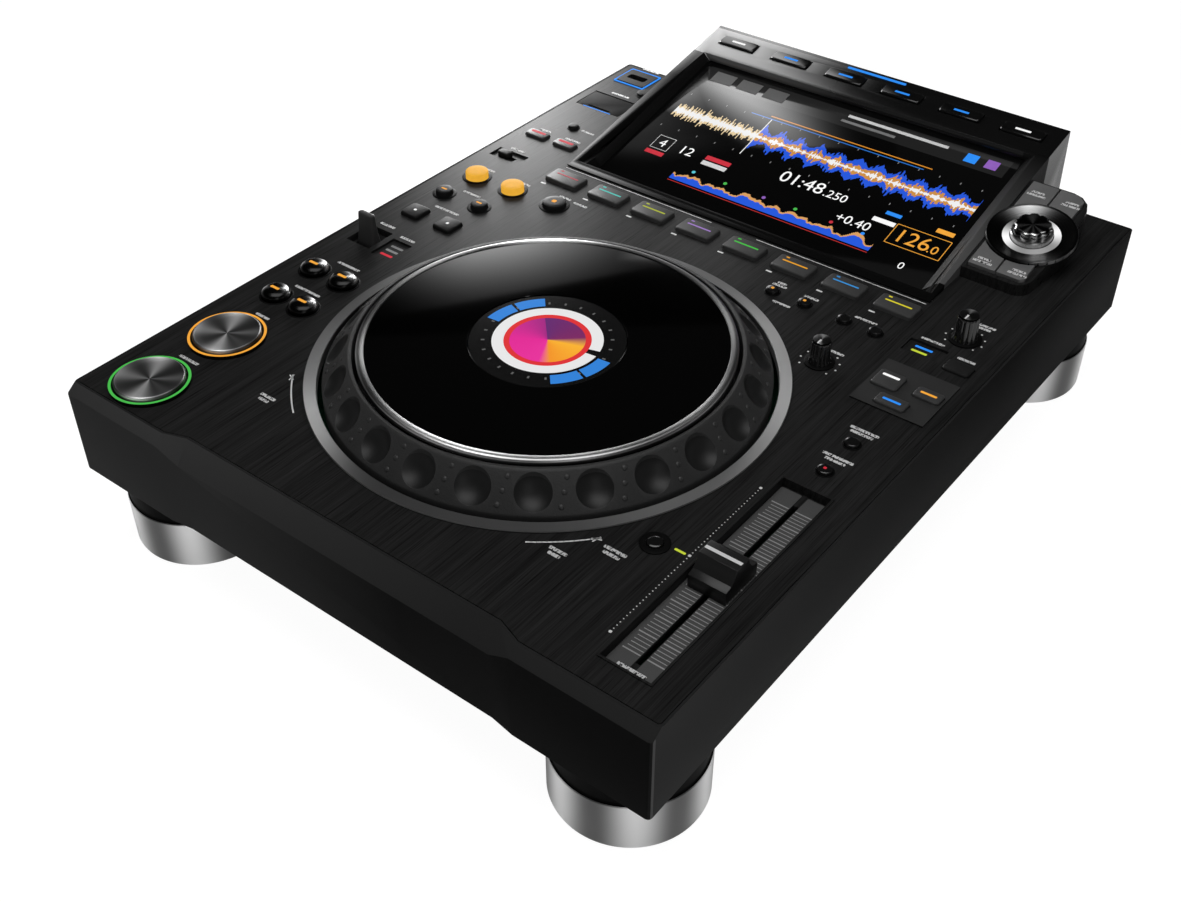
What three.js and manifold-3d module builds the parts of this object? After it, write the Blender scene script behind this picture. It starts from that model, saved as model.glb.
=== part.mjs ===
// Tabletop media player for DJs: a wide flat deck on four round feet, with a large jog
// wheel, a tilted touch display that overhangs the rear, and keys, knobs and a tempo fader.
// Millimetres, +Z up. The origin is on the table, at the middle of the part's footprint.
import * as THREE from "three";
import { mergeVertices } from "three/addons/utils/BufferGeometryUtils.js";
import Module from "manifold-3d";

// Overall sizes of the casing
const bodyWidth = 329;
const bodyDepth = 427.6;
const bodyHeight = 47.5;
const footHeight = 39.5;
const displayRise = 31;

// Half sizes of the casing, which the shares on the plan are taken of
const halfWidth = bodyWidth / 2;
const halfDepth = bodyDepth / 2;
const frontFace = -halfDepth;
const rearFace = halfDepth;

// Clearances
const seatGap = 0.3;
const keyGap = 0.4;
const runGap = 0.3;
const overrun = 1;
const weld = 0.0001;

// Facets of round pieces
const cornerStep = 1;
const boardCornerSteps = 2;
const smallSegments = 12;
const keySegments = 28;
const knobSegments = 16;
const ringSegments = 32;
const dialSegments = 40;
const pedestalSegments = 24;
const postSegments = 10;
const footSegments = 20;

// Casing shell and its stepped front
const shellWall = 2.5;
const cornerRadius = 2;
const cornerSteps = 3;
const rimWidth = 1.2;
const ledgeWidth = 4;
const ledgeThickness = 2.5;
const sideLipDrop = 3.8;
const sideLipRun = 5.1;
const middleLipDrop = 11;
const middleLipRun = 7.5;
const middleSetback = 1.8;
const middleLeftShare = -0.5532;
const middleLeft = halfWidth * middleLeftShare;
const middleRightShare = 0.5289;
const middleRight = halfWidth * middleRightShare;
const facetRun = 11.8;
const rearWindowLeftShare = -0.9119;
const rearWindowLeft = halfWidth * rearWindowLeftShare;
const rearWindowRightShare = 0.9119;
const rearWindowRight = halfWidth * rearWindowRightShare;
const rearWindowFoot = 5;
const rearWindowHeight = 24;

// Deck plate
const plateThickness = 3;
const skirtRun = 3;

// Chassis tray, its posts and its rear panel
const trayThickness = 2;
const trayLift = 0.6;
const postRadius = 4;
const postPlaces = [
  { xShare: -0.8997, yShare: -0.2806 },
  { xShare: 0.8997, yShare: -0.2806 },
  { xShare: -0.5471, yShare: -0.898 },
  { xShare: 0.3647, yShare: -0.9167 },
  { xShare: -0.3647, yShare: 0.2619 },
  { xShare: 0.3647, yShare: 0.2619 },
  { xShare: -0.9119, yShare: 0.7016 },
  { xShare: 0.9119, yShare: 0.7016 },
];
const panelThickness = 1.8;
const panelMargin = 4;
const socketWall = 1.6;
const mainsInlet = { xShare: -0.7416, z: 17, width: 27, height: 19.5, depth: 20, prong: 4 };
const networkSocket = { xShare: 0.2432, z: 16, width: 15, height: 12.5, depth: 14 };
const computerSocket = { xShare: 0.0486, z: 16, width: 12, height: 10.5, depth: 14 };
const phonoRadius = 4.4;
const phonoLength = 9;
const phonoPlaces = [
  { xShare: 0.4863, z: 16.5 },
  { xShare: 0.5957, z: 16.5 },
  { xShare: 0.766, z: 16.5 },
];
const pinRadius = 1.6;
const powerSwitch = { xShare: -0.4985, z: 17, width: 20, height: 13, rise: 3, depth: 8 };

// Circuit board
const boardBottom = 18.5;
const boardThickness = 1.6;
const boardMargin = 6;
const boardRearShare = 0.8606;
const boardRear = halfDepth * boardRearShare;
const boardHub = 42;
const stemClearance = 1.8;

// Feet
const footRadius = 33.8;
const footInset = 0.9;
const footSideInset = 35;
const footFrontMargin = 1.7;
const footRearInset = 31.8;
const footX = halfWidth - footSideInset;
const footFrontY = frontFace + footRadius + footFrontMargin;
const footRearY = rearFace - footRearInset;
const footBandDrop = 12;
const footGroove = 0.8;
const footRound = 2;
const footStud = 5;
const footStudRise = 6;

// Jog wheel
const jogYShare = -0.3227;
const jogY = halfDepth * jogYShare;
const jogWideShare = 0.67781;
const jogDeepShare = 0.52152;
const trimOuter = Math.min(halfWidth * jogWideShare, halfDepth * jogDeepShare);
const trimWidth = 6;
const trimInner = trimOuter - trimWidth;
const trimRise = 0.9;
const trimSkirt = 4;
const trimSkirtWall = 1.5;
const gripMargin = 2.5;
const gripOuter = trimInner - gripMargin;
const gripRise = 1.5;
const gripRun = 13;
const gripTopRadius = gripOuter - gripRun;
const gripTopRise = 15.5;
const gripTopWidth = 1.8;
const gripInner = gripTopRadius - gripTopWidth;
const gripWall = 3;
const gripSkirt = 7;
const gripRound = 1.5;
const dimpleCount = 24;
const dimpleOffset = 5.7;
const dimpleRadius = 8.3;
const dimpleDepth = 3;
const dimpleSegments = 12;
const dimpleSteps = 2;
const webThickness = 3;
const webDrop = 10;
const platterMargin = 1.7;
const platterOuter = gripInner - platterMargin;
const platterRise = 17;
const platterThickness = 3;
const platterRim = 1.6;
const platterRimRise = 0.6;
const dialRadius = 36;
const dialThickness = 3;
const dialDrop = 0.4;
const bearingRadius = 24;
const bearingWall = 4;
const bearingFlange = 34;
const bearingFlangeThickness = 3;
const hubWall = 4;
const hubFoot = 26;
const jogSegments = 48;

// Display housing, its bevelled well and its glass
const browseCorner = 51.5;
const housingWidth = bodyWidth - 2 * browseCorner;
const housingFrontShare = 0.4022;
const housingFront = halfDepth * housingFrontShare;
const housingLip = 0.9;
const housingLipRun = 3.5;
const housingWall = 3;
const hollowRun = 12;
const housingRearRun = 2.7;
const lapDrop = 4.9;
const lapFoot = 15;
const glassFrontYShare = 0.4537;
const glassFrontY = halfDepth * glassFrontYShare;
const glassFrontDrop = 5.2;
const glassRunShare = 0.5232;
const glassRun = halfDepth * glassRunShare;
const glassRearDrop = 3.89;
const glassMargin = 11.5;
const glassHalfWidth = housingWidth / 2 - glassMargin;
const glassSeat = 2;
const glassThickness = 1.6;
const wellMargin = 1;
const wellHalfWidth = housingWidth / 2 - wellMargin;
const wellBackSlope = 3.4;
const wellFrontSlope = 3.5;
const wellDepth = 9;
const wellWall = 2.2;
const panelBlock = 5;
const panelBlockInset = 4;

// Menu keys on the rear strip of the housing
const menuKeyCount = 6;
const menuPitchShare = 0.162;
const menuKeyPitch = housingWidth * menuPitchShare;
const menuKeySetback = 15.73;
const menuStrip = 27.63;
const menuKeyWidth = 24;
const menuKeyDepth = 8;
const menuKeyRise = 1.2;
const menuHoleReach = 6;

// Browse corner: raised mound, dish and rotary selector
const moundFrontShare = 0.5472;
const moundFront = halfDepth * moundFrontShare;
const moundRearShare = 0.898;
const moundRear = halfDepth * moundRearShare;
const moundInset = 18;
const moundRight = halfWidth - moundInset;
const moundBulge = 4;
const moundFrontCorner = 6;
const moundRearCorner = 10;
const moundCornerSteps = 3;
const moundWall = 2.2;
const dishInset = 31.5;
const dishX = halfWidth - dishInset;
const dishYShare = 0.71;
const dishY = halfDepth * dishYShare;
const dishRadius = 22.5;
const dishFoot = 17;
const dishRise = 2.4;
const dishRim = 1;
const dishFloor = 14.5;
const dishFloorRise = 0.6;
const selectorRadius = 9.6;
const selectorBase = 10.4;
const selectorHeight = 11;
const selectorBaseRise = 3;
const selectorWaistRise = 4.4;
const selectorShoulderRise = 9.2;
const selectorWaist = 0.9;
const selectorLobes = 12;
const selectorShaft = 3;
const browseKeyInset = 2;
const browseKeyRise = 1.2;
const browseSplitInset = 34.5;
const browseSplit = halfWidth - browseSplitInset;
const browseKeyReach = 16.5;
const browseKeySkirt = 5.5;
const browseKeyNotch = 1;

// Keys: flange, stem and corner of a moulded cap
const flange = 1.3;
const flangeThickness = 1.2;
const keyStem = 2.2;
const keyCorner = 1;
const keyChamfer = 0.5;
const keyTravel = 1.5;
const rockerLift = 1;

// Round keys of the transport corner
const transportShare = 0.1453;
const transportRadius = trimOuter * transportShare;
const playKey = { xShare: -0.8237, yShare: -0.8803, radius: transportRadius, rise: 3.4 };
const cueKey = { xShare: -0.8237, yShare: -0.6665, radius: transportRadius, rise: 3.4 };
const lightRingMargin = 0.7;
const lightRingWidth = 1.9;
const lightRingInner = transportRadius + lightRingMargin;
const lightRingOuter = lightRingInner + lightRingWidth;
const lightRingRise = 1.2;
const keyDish = 1;
const searchKeys = { leftShare: -0.8754, rightShare: -0.7599, yShare: -0.4864, radius: 7.4, rise: 4.6 };
const trackKeys = { leftShare: -0.8851, rightShare: -0.7629, yShare: -0.3578, radius: 7.4, rise: 4.6 };
const domeShare = 0.72;
const domeFootShare = 0.94;

// Direction lever, its recess and the position window
const lever = {
  xShare: -0.8936,
  yShare: -0.1712,
  width: 10.2,
  depth: 3.6,
  baseWidth: 12,
  baseDepth: 6.4,
  rise: 14,
};
const leverRecess = { leftShare: -0.9422, rightShare: -0.845, frontShare: -0.2105, rearShare: -0.1263 };
const leverSlotDepth = 4;
const positionWindow = { xShare: -0.7842, yShare: -0.1801, width: 13, depth: 17 };
const windowDepth = 1.4;

// Small keys left of the display and above the jog wheel
const jumpKeys = {
  leftShare: -0.879,
  rightShare: -0.7392,
  yShare: -0.0178,
  width: 11.8,
  depth: 11.8,
  rise: 1.9,
};
const loopKeys = { leftShare: -0.89, rightShare: -0.7374, yShare: 0.0982, radius: 4.6, rise: 3 };
const loopInKey = { xShare: -0.8778, yShare: 0.2133, radius: 6.3, rise: 4 };
const loopOutKey = { xShare: -0.7234, yShare: 0.2152, radius: 6.3, rise: 4 };
const reloopKey = { xShare: -0.5532, yShare: 0.2222, radius: 6.4, rise: 2.6 };
const lockRecess = { xShare: -0.89, yShare: 0.3508, width: 21, depth: 10 };
const lockKnob = { width: 8, depth: 5.4, rise: 2, travel: 5.5 };
const slipKey = { xShare: -0.9058, yShare: 0.486, width: 14, depth: 7.3, rise: 1.6 };
const quantizeKey = { xShare: -0.783, yShare: 0.486, width: 14, depth: 7.3, rise: 1.6 };
const timeKey = { xShare: -0.8419, yShare: 0.58, radius: 3, rise: 2 };
const cardDoor = { xShare: -0.8644, yShare: 0.7521, width: 30.8, depth: 19.5, thickness: 1.6 };
const cardSocket = { width: 24, depth: 3, drop: 14, wall: 1.4 };
const stickSocket = { xShare: -0.8954, yShare: 0.9289, width: 13, depth: 5.6, drop: 14, wall: 1.5 };
const stickFrame = { width: 20, depth: 17, rise: 0.8 };
const stopKey = { xShare: -0.7994, yShare: 0.8587, radius: 4, rise: 2 };

// Hot cue row and the small keys under it
const hotCueCount = 8;
const hotCuePitchShare = 0.1781;
const hotCuePitch = halfWidth * hotCuePitchShare;
const hotCueYShare = 0.3391;
const hotCueY = halfDepth * hotCueYShare;
const hotCueWidth = 21;
const hotCueDepth = 12.6;
const hotCueRise = 2;
const callKeys = { leftShare: 0.2857, rightShare: 0.397, yShare: 0.2236, radius: 3.3, rise: 2.4 };
const memoryKeys = { leftShare: 0.5331, rightShare: 0.6365, yShare: 0.2208, radius: 3.3, rise: 2.4 };

// Knobs on the right of the jog wheel
const releaseKnob = { xShare: 0.5824, yShare: 0.0529, radius: 5.6, rise: 13 };
const adjustKnob = { xShare: 0.8529, yShare: 0.3232, radius: 6.4, rise: 14 };
const knobTopShare = 0.82;
const knobShaft = 3;
const knobRibs = 12;
const knobRib = 0.5;
const knobDial = 1.6;
const knobDialRise = 0.8;

// Keys right of the jog wheel
const indicatorWindow = { xShare: 0.7878, yShare: 0.2315, width: 19.7, depth: 11 };
const jogModeKey = { xShare: 0.9058, yShare: 0.2128, width: 13, depth: 9, rise: 1.2 };
const syncPad = {
  leftShare: 0.7295,
  rightShare: 0.9514,
  frontShare: -0.0159,
  rearShare: 0.152,
  rise: 0.8,
};
const syncKey = { xShare: 0.7818, yShare: 0.079, width: 13, depth: 12.4, rise: 2 };
const masterKey = { xShare: 0.9021, yShare: 0.0814, width: 13, depth: 8, rise: 2 };
const keySyncKey = { xShare: 0.8365, yShare: 0.015, width: 15, depth: 8, rise: 2 };
const tempoKeys = { xShare: 0.8389, frontShare: -0.2554, rearShare: -0.1497, radius: 3.4, rise: 2 };
const resetKey = { xShare: 0.6547, yShare: -0.6268, radius: 3.6, rise: 1.6 };
const resetRing = 6.4;

// Tempo fader
const faderXShare = 0.8401;
const faderX = halfWidth * faderXShare;
const faderFrontShare = -0.9093;
const faderFront = halfDepth * faderFrontShare;
const faderRearShare = -0.3227;
const faderRear = halfDepth * faderRearShare;
const faderFrameWidth = 23.2;
const faderDrop = 4;
const faderFloor = 1.5;
const faderLip = 1;
const faderLipRise = 0.6;
const faderSlit = 2.4;
const faderSlitInset = 8;
const faderCentreYShare = -0.6151;
const faderCentreY = halfDepth * faderCentreYShare;
const faderCap = {
  width: 17.8,
  length: 22,
  rise: 9.6,
  ridge: 8.4,
  skirt: 2.6,
  foot: 3.6,
  hollow: 6.6,
};
const faderFootShare = 0.68;
const faderHollowShare = 0.46;
const faderShoeHalf = 3.4;
const faderBlade = 1.2;
const faderShoe = 3;

// Places on the plan, worked out from their shares of the casing's half sizes
function placeOnPlan(spot) {
  for (const side of ["x", "left", "right"]) {
    if (`${side}Share` in spot) spot[side] = spot[`${side}Share`] * halfWidth;
  }
  for (const side of ["y", "front", "rear"]) {
    if (`${side}Share` in spot) spot[side] = spot[`${side}Share`] * halfDepth;
  }
}

[
  mainsInlet, networkSocket, computerSocket, powerSwitch, playKey, cueKey, searchKeys,
  trackKeys, lever, leverRecess, positionWindow, jumpKeys, loopKeys, loopInKey, loopOutKey,
  reloopKey, lockRecess, slipKey, quantizeKey, timeKey, cardDoor, stickSocket, stopKey,
  callKeys, memoryKeys, releaseKnob, adjustKnob, indicatorWindow, jogModeKey, syncPad,
  syncKey, masterKey, keySyncKey, tempoKeys, resetKey, ...postPlaces, ...phonoPlaces,
].forEach(placeOnPlan);

// Heights and edges that follow from the sizes above
const deckTop = bodyHeight;
const plateBottom = deckTop - plateThickness;
const flangeTop = plateBottom - seatGap;
const boardTop = boardBottom + boardThickness;
const stemFoot = boardTop + stemClearance;
const housingTop = deckTop + displayRise;
const glassRear = glassFrontY + glassRun;
const stripRear = glassRear + menuStrip;
const housingRear = stripRear + housingRearRun;
const rearOverhang = housingRear - rearFace;
const menuKeyY = glassRear + menuKeySetback;
const slopeStart = housingFront + housingLipRun;
const slope = (displayRise - housingLip) / (stripRear - slopeStart);
const slopeAngle = Math.atan(slope);
const degree = Math.PI / 180;
const pedestalTop = stemFoot;
const bearingTop = deckTop + platterRise - platterThickness - dialThickness - seatGap;

const wasm = await Module();
wasm.setup();

// Height of the display's outer plane above the body's underside at a depth y
const planeHeight = (y) => deckTop + housingLip + (y - slopeStart) * slope;

// Tilt and length of the glass, from its front edge to its rear edge below that plane
const glassRise = planeHeight(glassRear) - glassRearDrop - (deckTop - glassFrontDrop);
const glassTilt = Math.atan(glassRise / glassRun);
const glassLength = glassRun / Math.cos(glassTilt);

// A closed geometry as a solid, with its faces turned outwards
function solidOf(geometry) {
  const loose = geometry.index ? geometry.toNonIndexed() : geometry;
  const bare = new THREE.BufferGeometry();
  bare.setAttribute("position", loose.getAttribute("position"));
  const merged = mergeVertices(bare, weld);
  const corners = [];
  const index = merged.index.array;
  for (let i = 0; i < index.length; i += 3) {
    const [a, b, c] = index.slice(i, i + 3);
    if (a !== b && b !== c && c !== a) corners.push(a, b, c);
  }
  const points = merged.attributes.position.array;
  const build = (order) =>
    new wasm.Manifold(
      new wasm.Mesh({ numProp: 3, vertProperties: points, triVerts: new Uint32Array(order) }),
    );
  const solid = build(corners);
  return solid.volume() < 0 ? build(corners.reverse()) : solid;
}

// A solid moved by a three.js matrix
function moved(solid, matrix) {
  return solid.transform(matrix.elements);
}

const shifted = (solid, x, y, z) => moved(solid, new THREE.Matrix4().makeTranslation(x, y, z));

function union(...solids) {
  return solids.reduce((all, one) => all.add(one));
}

function cut(solid, ...tools) {
  return tools.reduce((rest, tool) => rest.subtract(tool), solid);
}

// Outlines as lists of points
function rectangle(left, right, front, rear) {
  return [
    new THREE.Vector2(left, front),
    new THREE.Vector2(right, front),
    new THREE.Vector2(right, rear),
    new THREE.Vector2(left, rear),
  ];
}

function circle(x, y, radius, segments) {
  const points = [];
  for (let k = 0; k < segments; k += 1) {
    const turn = (2 * Math.PI * k) / segments;
    points.push(new THREE.Vector2(x + radius * Math.cos(turn), y + radius * Math.sin(turn)));
  }
  return points;
}

function roundedRectangle(x, y, width, depth, corner, steps) {
  const points = [];
  const centres = [
    [1, 1],
    [-1, 1],
    [-1, -1],
    [1, -1],
  ];
  centres.forEach(([sideX, sideY], quarter) => {
    const centreX = x + sideX * (width / 2 - corner);
    const centreY = y + sideY * (depth / 2 - corner);
    for (let k = 0; k <= steps; k += 1) {
      const turn = ((quarter + k / steps) * Math.PI) / 2;
      points.push(
        new THREE.Vector2(centreX + corner * Math.cos(turn), centreY + corner * Math.sin(turn)),
      );
    }
  });
  return points;
}

// A straight prism over an outline, with holes if there are any
function prism(outline, low, high, holes = []) {
  const shape = new THREE.Shape(outline);
  shape.holes = holes.map((hole) => new THREE.Path(hole));
  const geometry = new THREE.ExtrudeGeometry(shape, { depth: high - low, bevelEnabled: false });
  geometry.translate(0, 0, low);
  return solidOf(geometry);
}

const block = (left, right, front, rear, low, high) =>
  prism(rectangle(left, right, front, rear), low, high);

const drum = (x, y, radius, low, high, segments = knobSegments) =>
  prism(circle(x, y, radius, segments), low, high);

// A prism along X over an outline of depths and heights
function profileAlongX(outline, left, right) {
  const turned = new THREE.Matrix4().set(0, 0, 1, 0, 1, 0, 0, 0, 0, 1, 0, 0, 0, 0, 0, 1);
  return moved(prism(outline, left, right), turned);
}

// A solid of revolution about Z from radius and height pairs
function turning(profile, segments, x = 0, y = 0) {
  const points = profile.map(([radius, height]) => new THREE.Vector2(radius, height));
  const geometry = new THREE.LatheGeometry(points, segments);
  geometry.rotateX(Math.PI / 2);
  geometry.translate(x, y, 0);
  return solidOf(geometry);
}

// A closed ring of revolution, whose profile ends where it starts
const turnedRing = (profile, segments, x = 0, y = 0) =>
  turning([...profile, profile[0]], segments, x, y);

// A skin through rings of equal length, closed by flat ends; flat lays an end out in 2-D
function loft(rings, flat) {
  const count = rings[0].length;
  const turned = THREE.ShapeUtils.isClockWise(rings[0].map(flat));
  const ordered = turned ? rings.map((ring) => [...ring].reverse()) : rings;
  const index = [];
  for (let k = 0; k + 1 < ordered.length; k += 1) {
    for (let i = 0; i < count; i += 1) {
      const a = k * count + i;
      const b = k * count + ((i + 1) % count);
      index.push(a, b, b + count, a, b + count, a + count);
    }
  }
  const last = (ordered.length - 1) * count;
  const addEnd = (ring, start, outwards) => {
    const plan = ring.map(flat);
    for (const face of THREE.ShapeUtils.triangulateShape(plan, [])) {
      const clockwise = THREE.ShapeUtils.isClockWise(face.map((i) => plan[i]));
      const [a, b, c] = clockwise === outwards ? [face[0], face[2], face[1]] : face;
      index.push(start + a, start + b, start + c);
    }
  };
  addEnd(ordered[0], 0, false);
  addEnd(ordered[ordered.length - 1], last, true);
  const geometry = new THREE.BufferGeometry();
  const positions = ordered.flat().flatMap((point) => point.toArray());
  geometry.setAttribute("position", new THREE.Float32BufferAttribute(positions, 3));
  geometry.setIndex(index);
  return solidOf(geometry);
}

const flatPlan = (point) => new THREE.Vector2(point.x, point.y);
const flatSection = (point) => new THREE.Vector2(point.y, point.z);

// An outline lifted to one height
const atHeight = (outline, z) => outline.map((point) => new THREE.Vector3(point.x, point.y, z));

// The moulded cap of a key: straight walls and a chamfered top edge
function cap(outlineAt, low, high) {
  const rings = [
    atHeight(outlineAt(0), low),
    atHeight(outlineAt(0), high - keyChamfer),
    atHeight(outlineAt(keyChamfer), high),
  ];
  return loft(rings, flatPlan);
}

const roundSegments = (key) => (key.radius === transportRadius ? keySegments : smallSegments);

const roundOutline = (key) => (inset) =>
  circle(key.x, key.y, key.radius - inset, roundSegments(key));

const boxOutline = (key) => (inset) =>
  roundedRectangle(key.x, key.y, key.width - 2 * inset, key.depth - 2 * inset, keyCorner, cornerStep);

const holeFor = (key) =>
  key.radius
    ? circle(key.x, key.y, key.radius + keyGap, roundSegments(key))
    : roundedRectangle(
        key.x,
        key.y,
        key.width + 2 * keyGap,
        key.depth + 2 * keyGap,
        keyCorner + keyGap,
        cornerStep,
      );

// Cap, retaining flange under the plate and stem towards the switch on the board
function pushKey(key) {
  const outline = key.radius ? roundOutline(key) : boxOutline(key);
  const under = flangeTop - flangeThickness;
  return union(
    cap(outline, under, deckTop + key.rise),
    prism(outline(-flange), under, flangeTop),
    block(
      key.x - keyStem / 2,
      key.x + keyStem / 2,
      key.y - keyStem / 2,
      key.y + keyStem / 2,
      stemFoot,
      under + overrun / 2,
    ),
  );
}

// Two caps on one bridge that tips about the line between them
function twinKey(first, second) {
  const top = flangeTop - rockerLift;
  const under = top - flangeThickness;
  const low = stemFoot + keyTravel;
  const one = (key) => {
    const outline = key.radius ? roundOutline(key) : boxOutline(key);
    return cap(outline, under, deckTop + key.rise);
  };
  const alongX = Math.abs(first.x - second.x) > Math.abs(first.y - second.y);
  const middleX = (first.x + second.x) / 2;
  const middleY = (first.y + second.y) / 2;
  const half = keyStem + flange;
  const bridge = alongX
    ? block(first.x, second.x, middleY - half / 2, middleY + half / 2, under, top)
    : block(middleX - half / 2, middleX + half / 2, first.y, second.y, under, top);
  const stem = block(
    middleX - keyStem / 2,
    middleX + keyStem / 2,
    middleY - keyStem / 2,
    middleY + keyStem / 2,
    low,
    under + overrun / 2,
  );
  return union(one(first), one(second), bridge, stem);
}

const leftOf = (pair) => ({ ...pair, x: pair.left });
const rightOf = (pair) => ({ ...pair, x: pair.right });
const frontOf = (pair) => ({ ...pair, y: pair.front });
const rearOf = (pair) => ({ ...pair, y: pair.rear });

// Outline of the deck's flat top, pulled in by an inset
function deckOutline(inset) {
  const side = frontFace + sideLipRun + inset;
  const middle = frontFace + middleSetback + middleLipRun + inset;
  const left = -halfWidth + inset;
  const right = halfWidth - inset;
  const rear = rearFace - inset;
  const corner = Math.max(cornerRadius - inset, keyChamfer);
  return [
    new THREE.Vector2(left + corner, side),
    new THREE.Vector2(middleLeft - facetRun, side),
    new THREE.Vector2(middleLeft, middle),
    new THREE.Vector2(middleRight, middle),
    new THREE.Vector2(middleRight + facetRun, side),
    new THREE.Vector2(right - corner, side),
    new THREE.Vector2(right, side + corner),
    new THREE.Vector2(right, rear - corner),
    new THREE.Vector2(right - corner, rear),
    new THREE.Vector2(left + corner, rear),
    new THREE.Vector2(left, rear - corner),
    new THREE.Vector2(left, side + corner),
  ];
}

// One cross section of the casing at x; inset draws it in where the corners are rounded
function casingSection(x, setback, lipRun, lipDrop, inset) {
  const front = frontFace + setback + inset;
  const rear = rearFace - inset;
  return [
    new THREE.Vector3(x, front, 0),
    new THREE.Vector3(x, rear, 0),
    new THREE.Vector3(x, rear, deckTop),
    new THREE.Vector3(x, front + lipRun, deckTop),
    new THREE.Vector3(x, front, deckTop - lipDrop),
  ];
}

function casingStations() {
  const side = (x, inset) => casingSection(x, 0, sideLipRun, sideLipDrop, inset);
  const middle = (x) => casingSection(x, middleSetback, middleLipRun, middleLipDrop, 0);
  const corners = [];
  for (let k = 0; k <= cornerSteps; k += 1) {
    const turn = (k / cornerSteps) * (Math.PI / 2);
    const x = halfWidth - cornerRadius * (1 - Math.cos(turn));
    corners.push({ x, inset: cornerRadius * (1 - Math.sin(turn)) });
  }
  return [
    ...corners.map((corner) => side(-corner.x, corner.inset)),
    side(middleLeft - facetRun, 0),
    middle(middleLeft),
    middle(middleRight),
    side(middleRight + facetRun, 0),
    ...corners.reverse().map((corner) => side(corner.x, corner.inset)),
  ];
}

// Body shell: lofted walls with an inward ledge for the deck plate and a rear window
function bodyShell() {
  const outer = loft(casingStations(), flatSection);
  const ledgeBottom = plateBottom - seatGap - ledgeThickness;
  const inner = frontFace + middleSetback + shellWall;
  const lipSlope = middleLipRun / middleLipDrop;
  const rise = ledgeBottom - (deckTop - middleLipDrop - shellWall);
  const cavity = profileAlongX(
    [
      new THREE.Vector2(inner, -overrun),
      new THREE.Vector2(rearFace - shellWall, -overrun),
      new THREE.Vector2(rearFace - shellWall, ledgeBottom),
      new THREE.Vector2(inner + rise * lipSlope, ledgeBottom),
      new THREE.Vector2(inner, ledgeBottom - rise),
    ],
    -halfWidth + shellWall,
    halfWidth - shellWall,
  );
  const pocket = prism(deckOutline(rimWidth), plateBottom - seatGap, deckTop + overrun);
  const opening = prism(deckOutline(rimWidth + ledgeWidth), ledgeBottom - overrun, deckTop);
  const window = block(
    rearWindowLeft,
    rearWindowRight,
    rearFace - shellWall - overrun,
    rearFace + overrun,
    rearWindowFoot,
    rearWindowFoot + rearWindowHeight,
  );
  const relief = drum(
    playKey.x,
    playKey.y,
    playKey.radius + flange + keyGap,
    ledgeBottom - overrun,
    deckTop,
    keySegments,
  );
  return cut(outer, cavity, pocket, opening, window, relief);
}

// Places of the hot cue keys along their row
function hotCuePlaces() {
  const places = [];
  for (let k = 0; k < hotCueCount; k += 1) {
    const x = (k - (hotCueCount - 1) / 2) * hotCuePitch;
    places.push({ x, y: hotCueY, width: hotCueWidth, depth: hotCueDepth, rise: hotCueRise });
  }
  return places;
}

// Outline of the mound's wall, drawn in by an inset; its right side bulges between two corners
function moundOutline(inset) {
  const left = housingWidth / 2 + seatGap + inset;
  const front = moundFront + inset;
  const rear = moundRear - inset;
  const points = [new THREE.Vector2(left, rear), new THREE.Vector2(left, front)];
  const addRight = (y, drawIn) => {
    const bulge = moundBulge * Math.sin((Math.PI * (y - front)) / (rear - front));
    points.push(new THREE.Vector2(moundRight + bulge - inset - drawIn, y));
  };
  const turns = [];
  for (let k = 0; k <= moundCornerSteps; k += 1) turns.push((Math.PI / 2) * (k / moundCornerSteps));
  for (const turn of turns) {
    const corner = moundFrontCorner - inset;
    addRight(front + corner * (1 - Math.cos(turn)), corner * (1 - Math.sin(turn)));
  }
  addRight((front + rear) / 2, 0);
  for (const turn of turns.reverse()) {
    const corner = moundRearCorner - inset;
    addRight(rear - corner * (1 - Math.cos(turn)), corner * (1 - Math.sin(turn)));
  }
  return points;
}

// A mound body whose flat top lies on the display's plane, lowered by drop
function moundBody(inset, low, drop) {
  const outline = moundOutline(inset);
  const top = outline.map(
    (point) => new THREE.Vector3(point.x, point.y, planeHeight(point.y) - drop),
  );
  return loft([atHeight(outline, low), top], flatPlan);
}

// Frame of the dish: on the display's plane, Z along the plane's normal
function dishFrame() {
  const tilt = new THREE.Matrix4().makeRotationX(slopeAngle);
  return new THREE.Matrix4().makeTranslation(dishX, dishY, planeHeight(dishY)).multiply(tilt);
}

// Left and right edge of the browse keys, in the dish's frame
const browseLeft = housingWidth / 2 + seatGap + browseKeyInset - dishX;
const browseRight = moundRight - browseKeyInset - dishX;

// A slab of the browse keys' outline, cut round by the dish
function browseSlab(left, right, front, rear, low, round) {
  const slab = block(left, right, front, rear, low, browseKeyRise);
  return slab.subtract(drum(0, 0, round, low - overrun, dishRise, ringSegments));
}

const browseFront = (moundFront + moundWall - dishY) / Math.cos(slopeAngle);
const browseRear = (moundRear - moundWall - dishY) / Math.cos(slopeAngle);

function browseKeys(front, rear) {
  const low = -browseKeySkirt;
  const split = browseSplit - dishX;
  const notch = browseKeyNotch / 2;
  const round = dishRadius + keyGap;
  const left = browseSlab(browseLeft, split - notch, front, rear, low, round);
  const right = browseSlab(split + notch, browseRight, front, rear, low, round);
  const outer = Math.abs(front) > Math.abs(rear) ? front : rear;
  const inner = outer + (outer < 0 ? browseKeySkirt : -browseKeySkirt);
  const [near, far] = outer < inner ? [outer, inner] : [inner, outer];
  const bridge = block(
    split - browseKeyReach / 2,
    split + browseKeyReach / 2,
    near,
    far,
    low - flangeThickness,
    low + flangeThickness,
  );
  const edge = prism(moundOutline(browseKeyInset), 0, housingTop);
  return moved(union(left, right, bridge), dishFrame()).intersect(edge);
}

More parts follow.
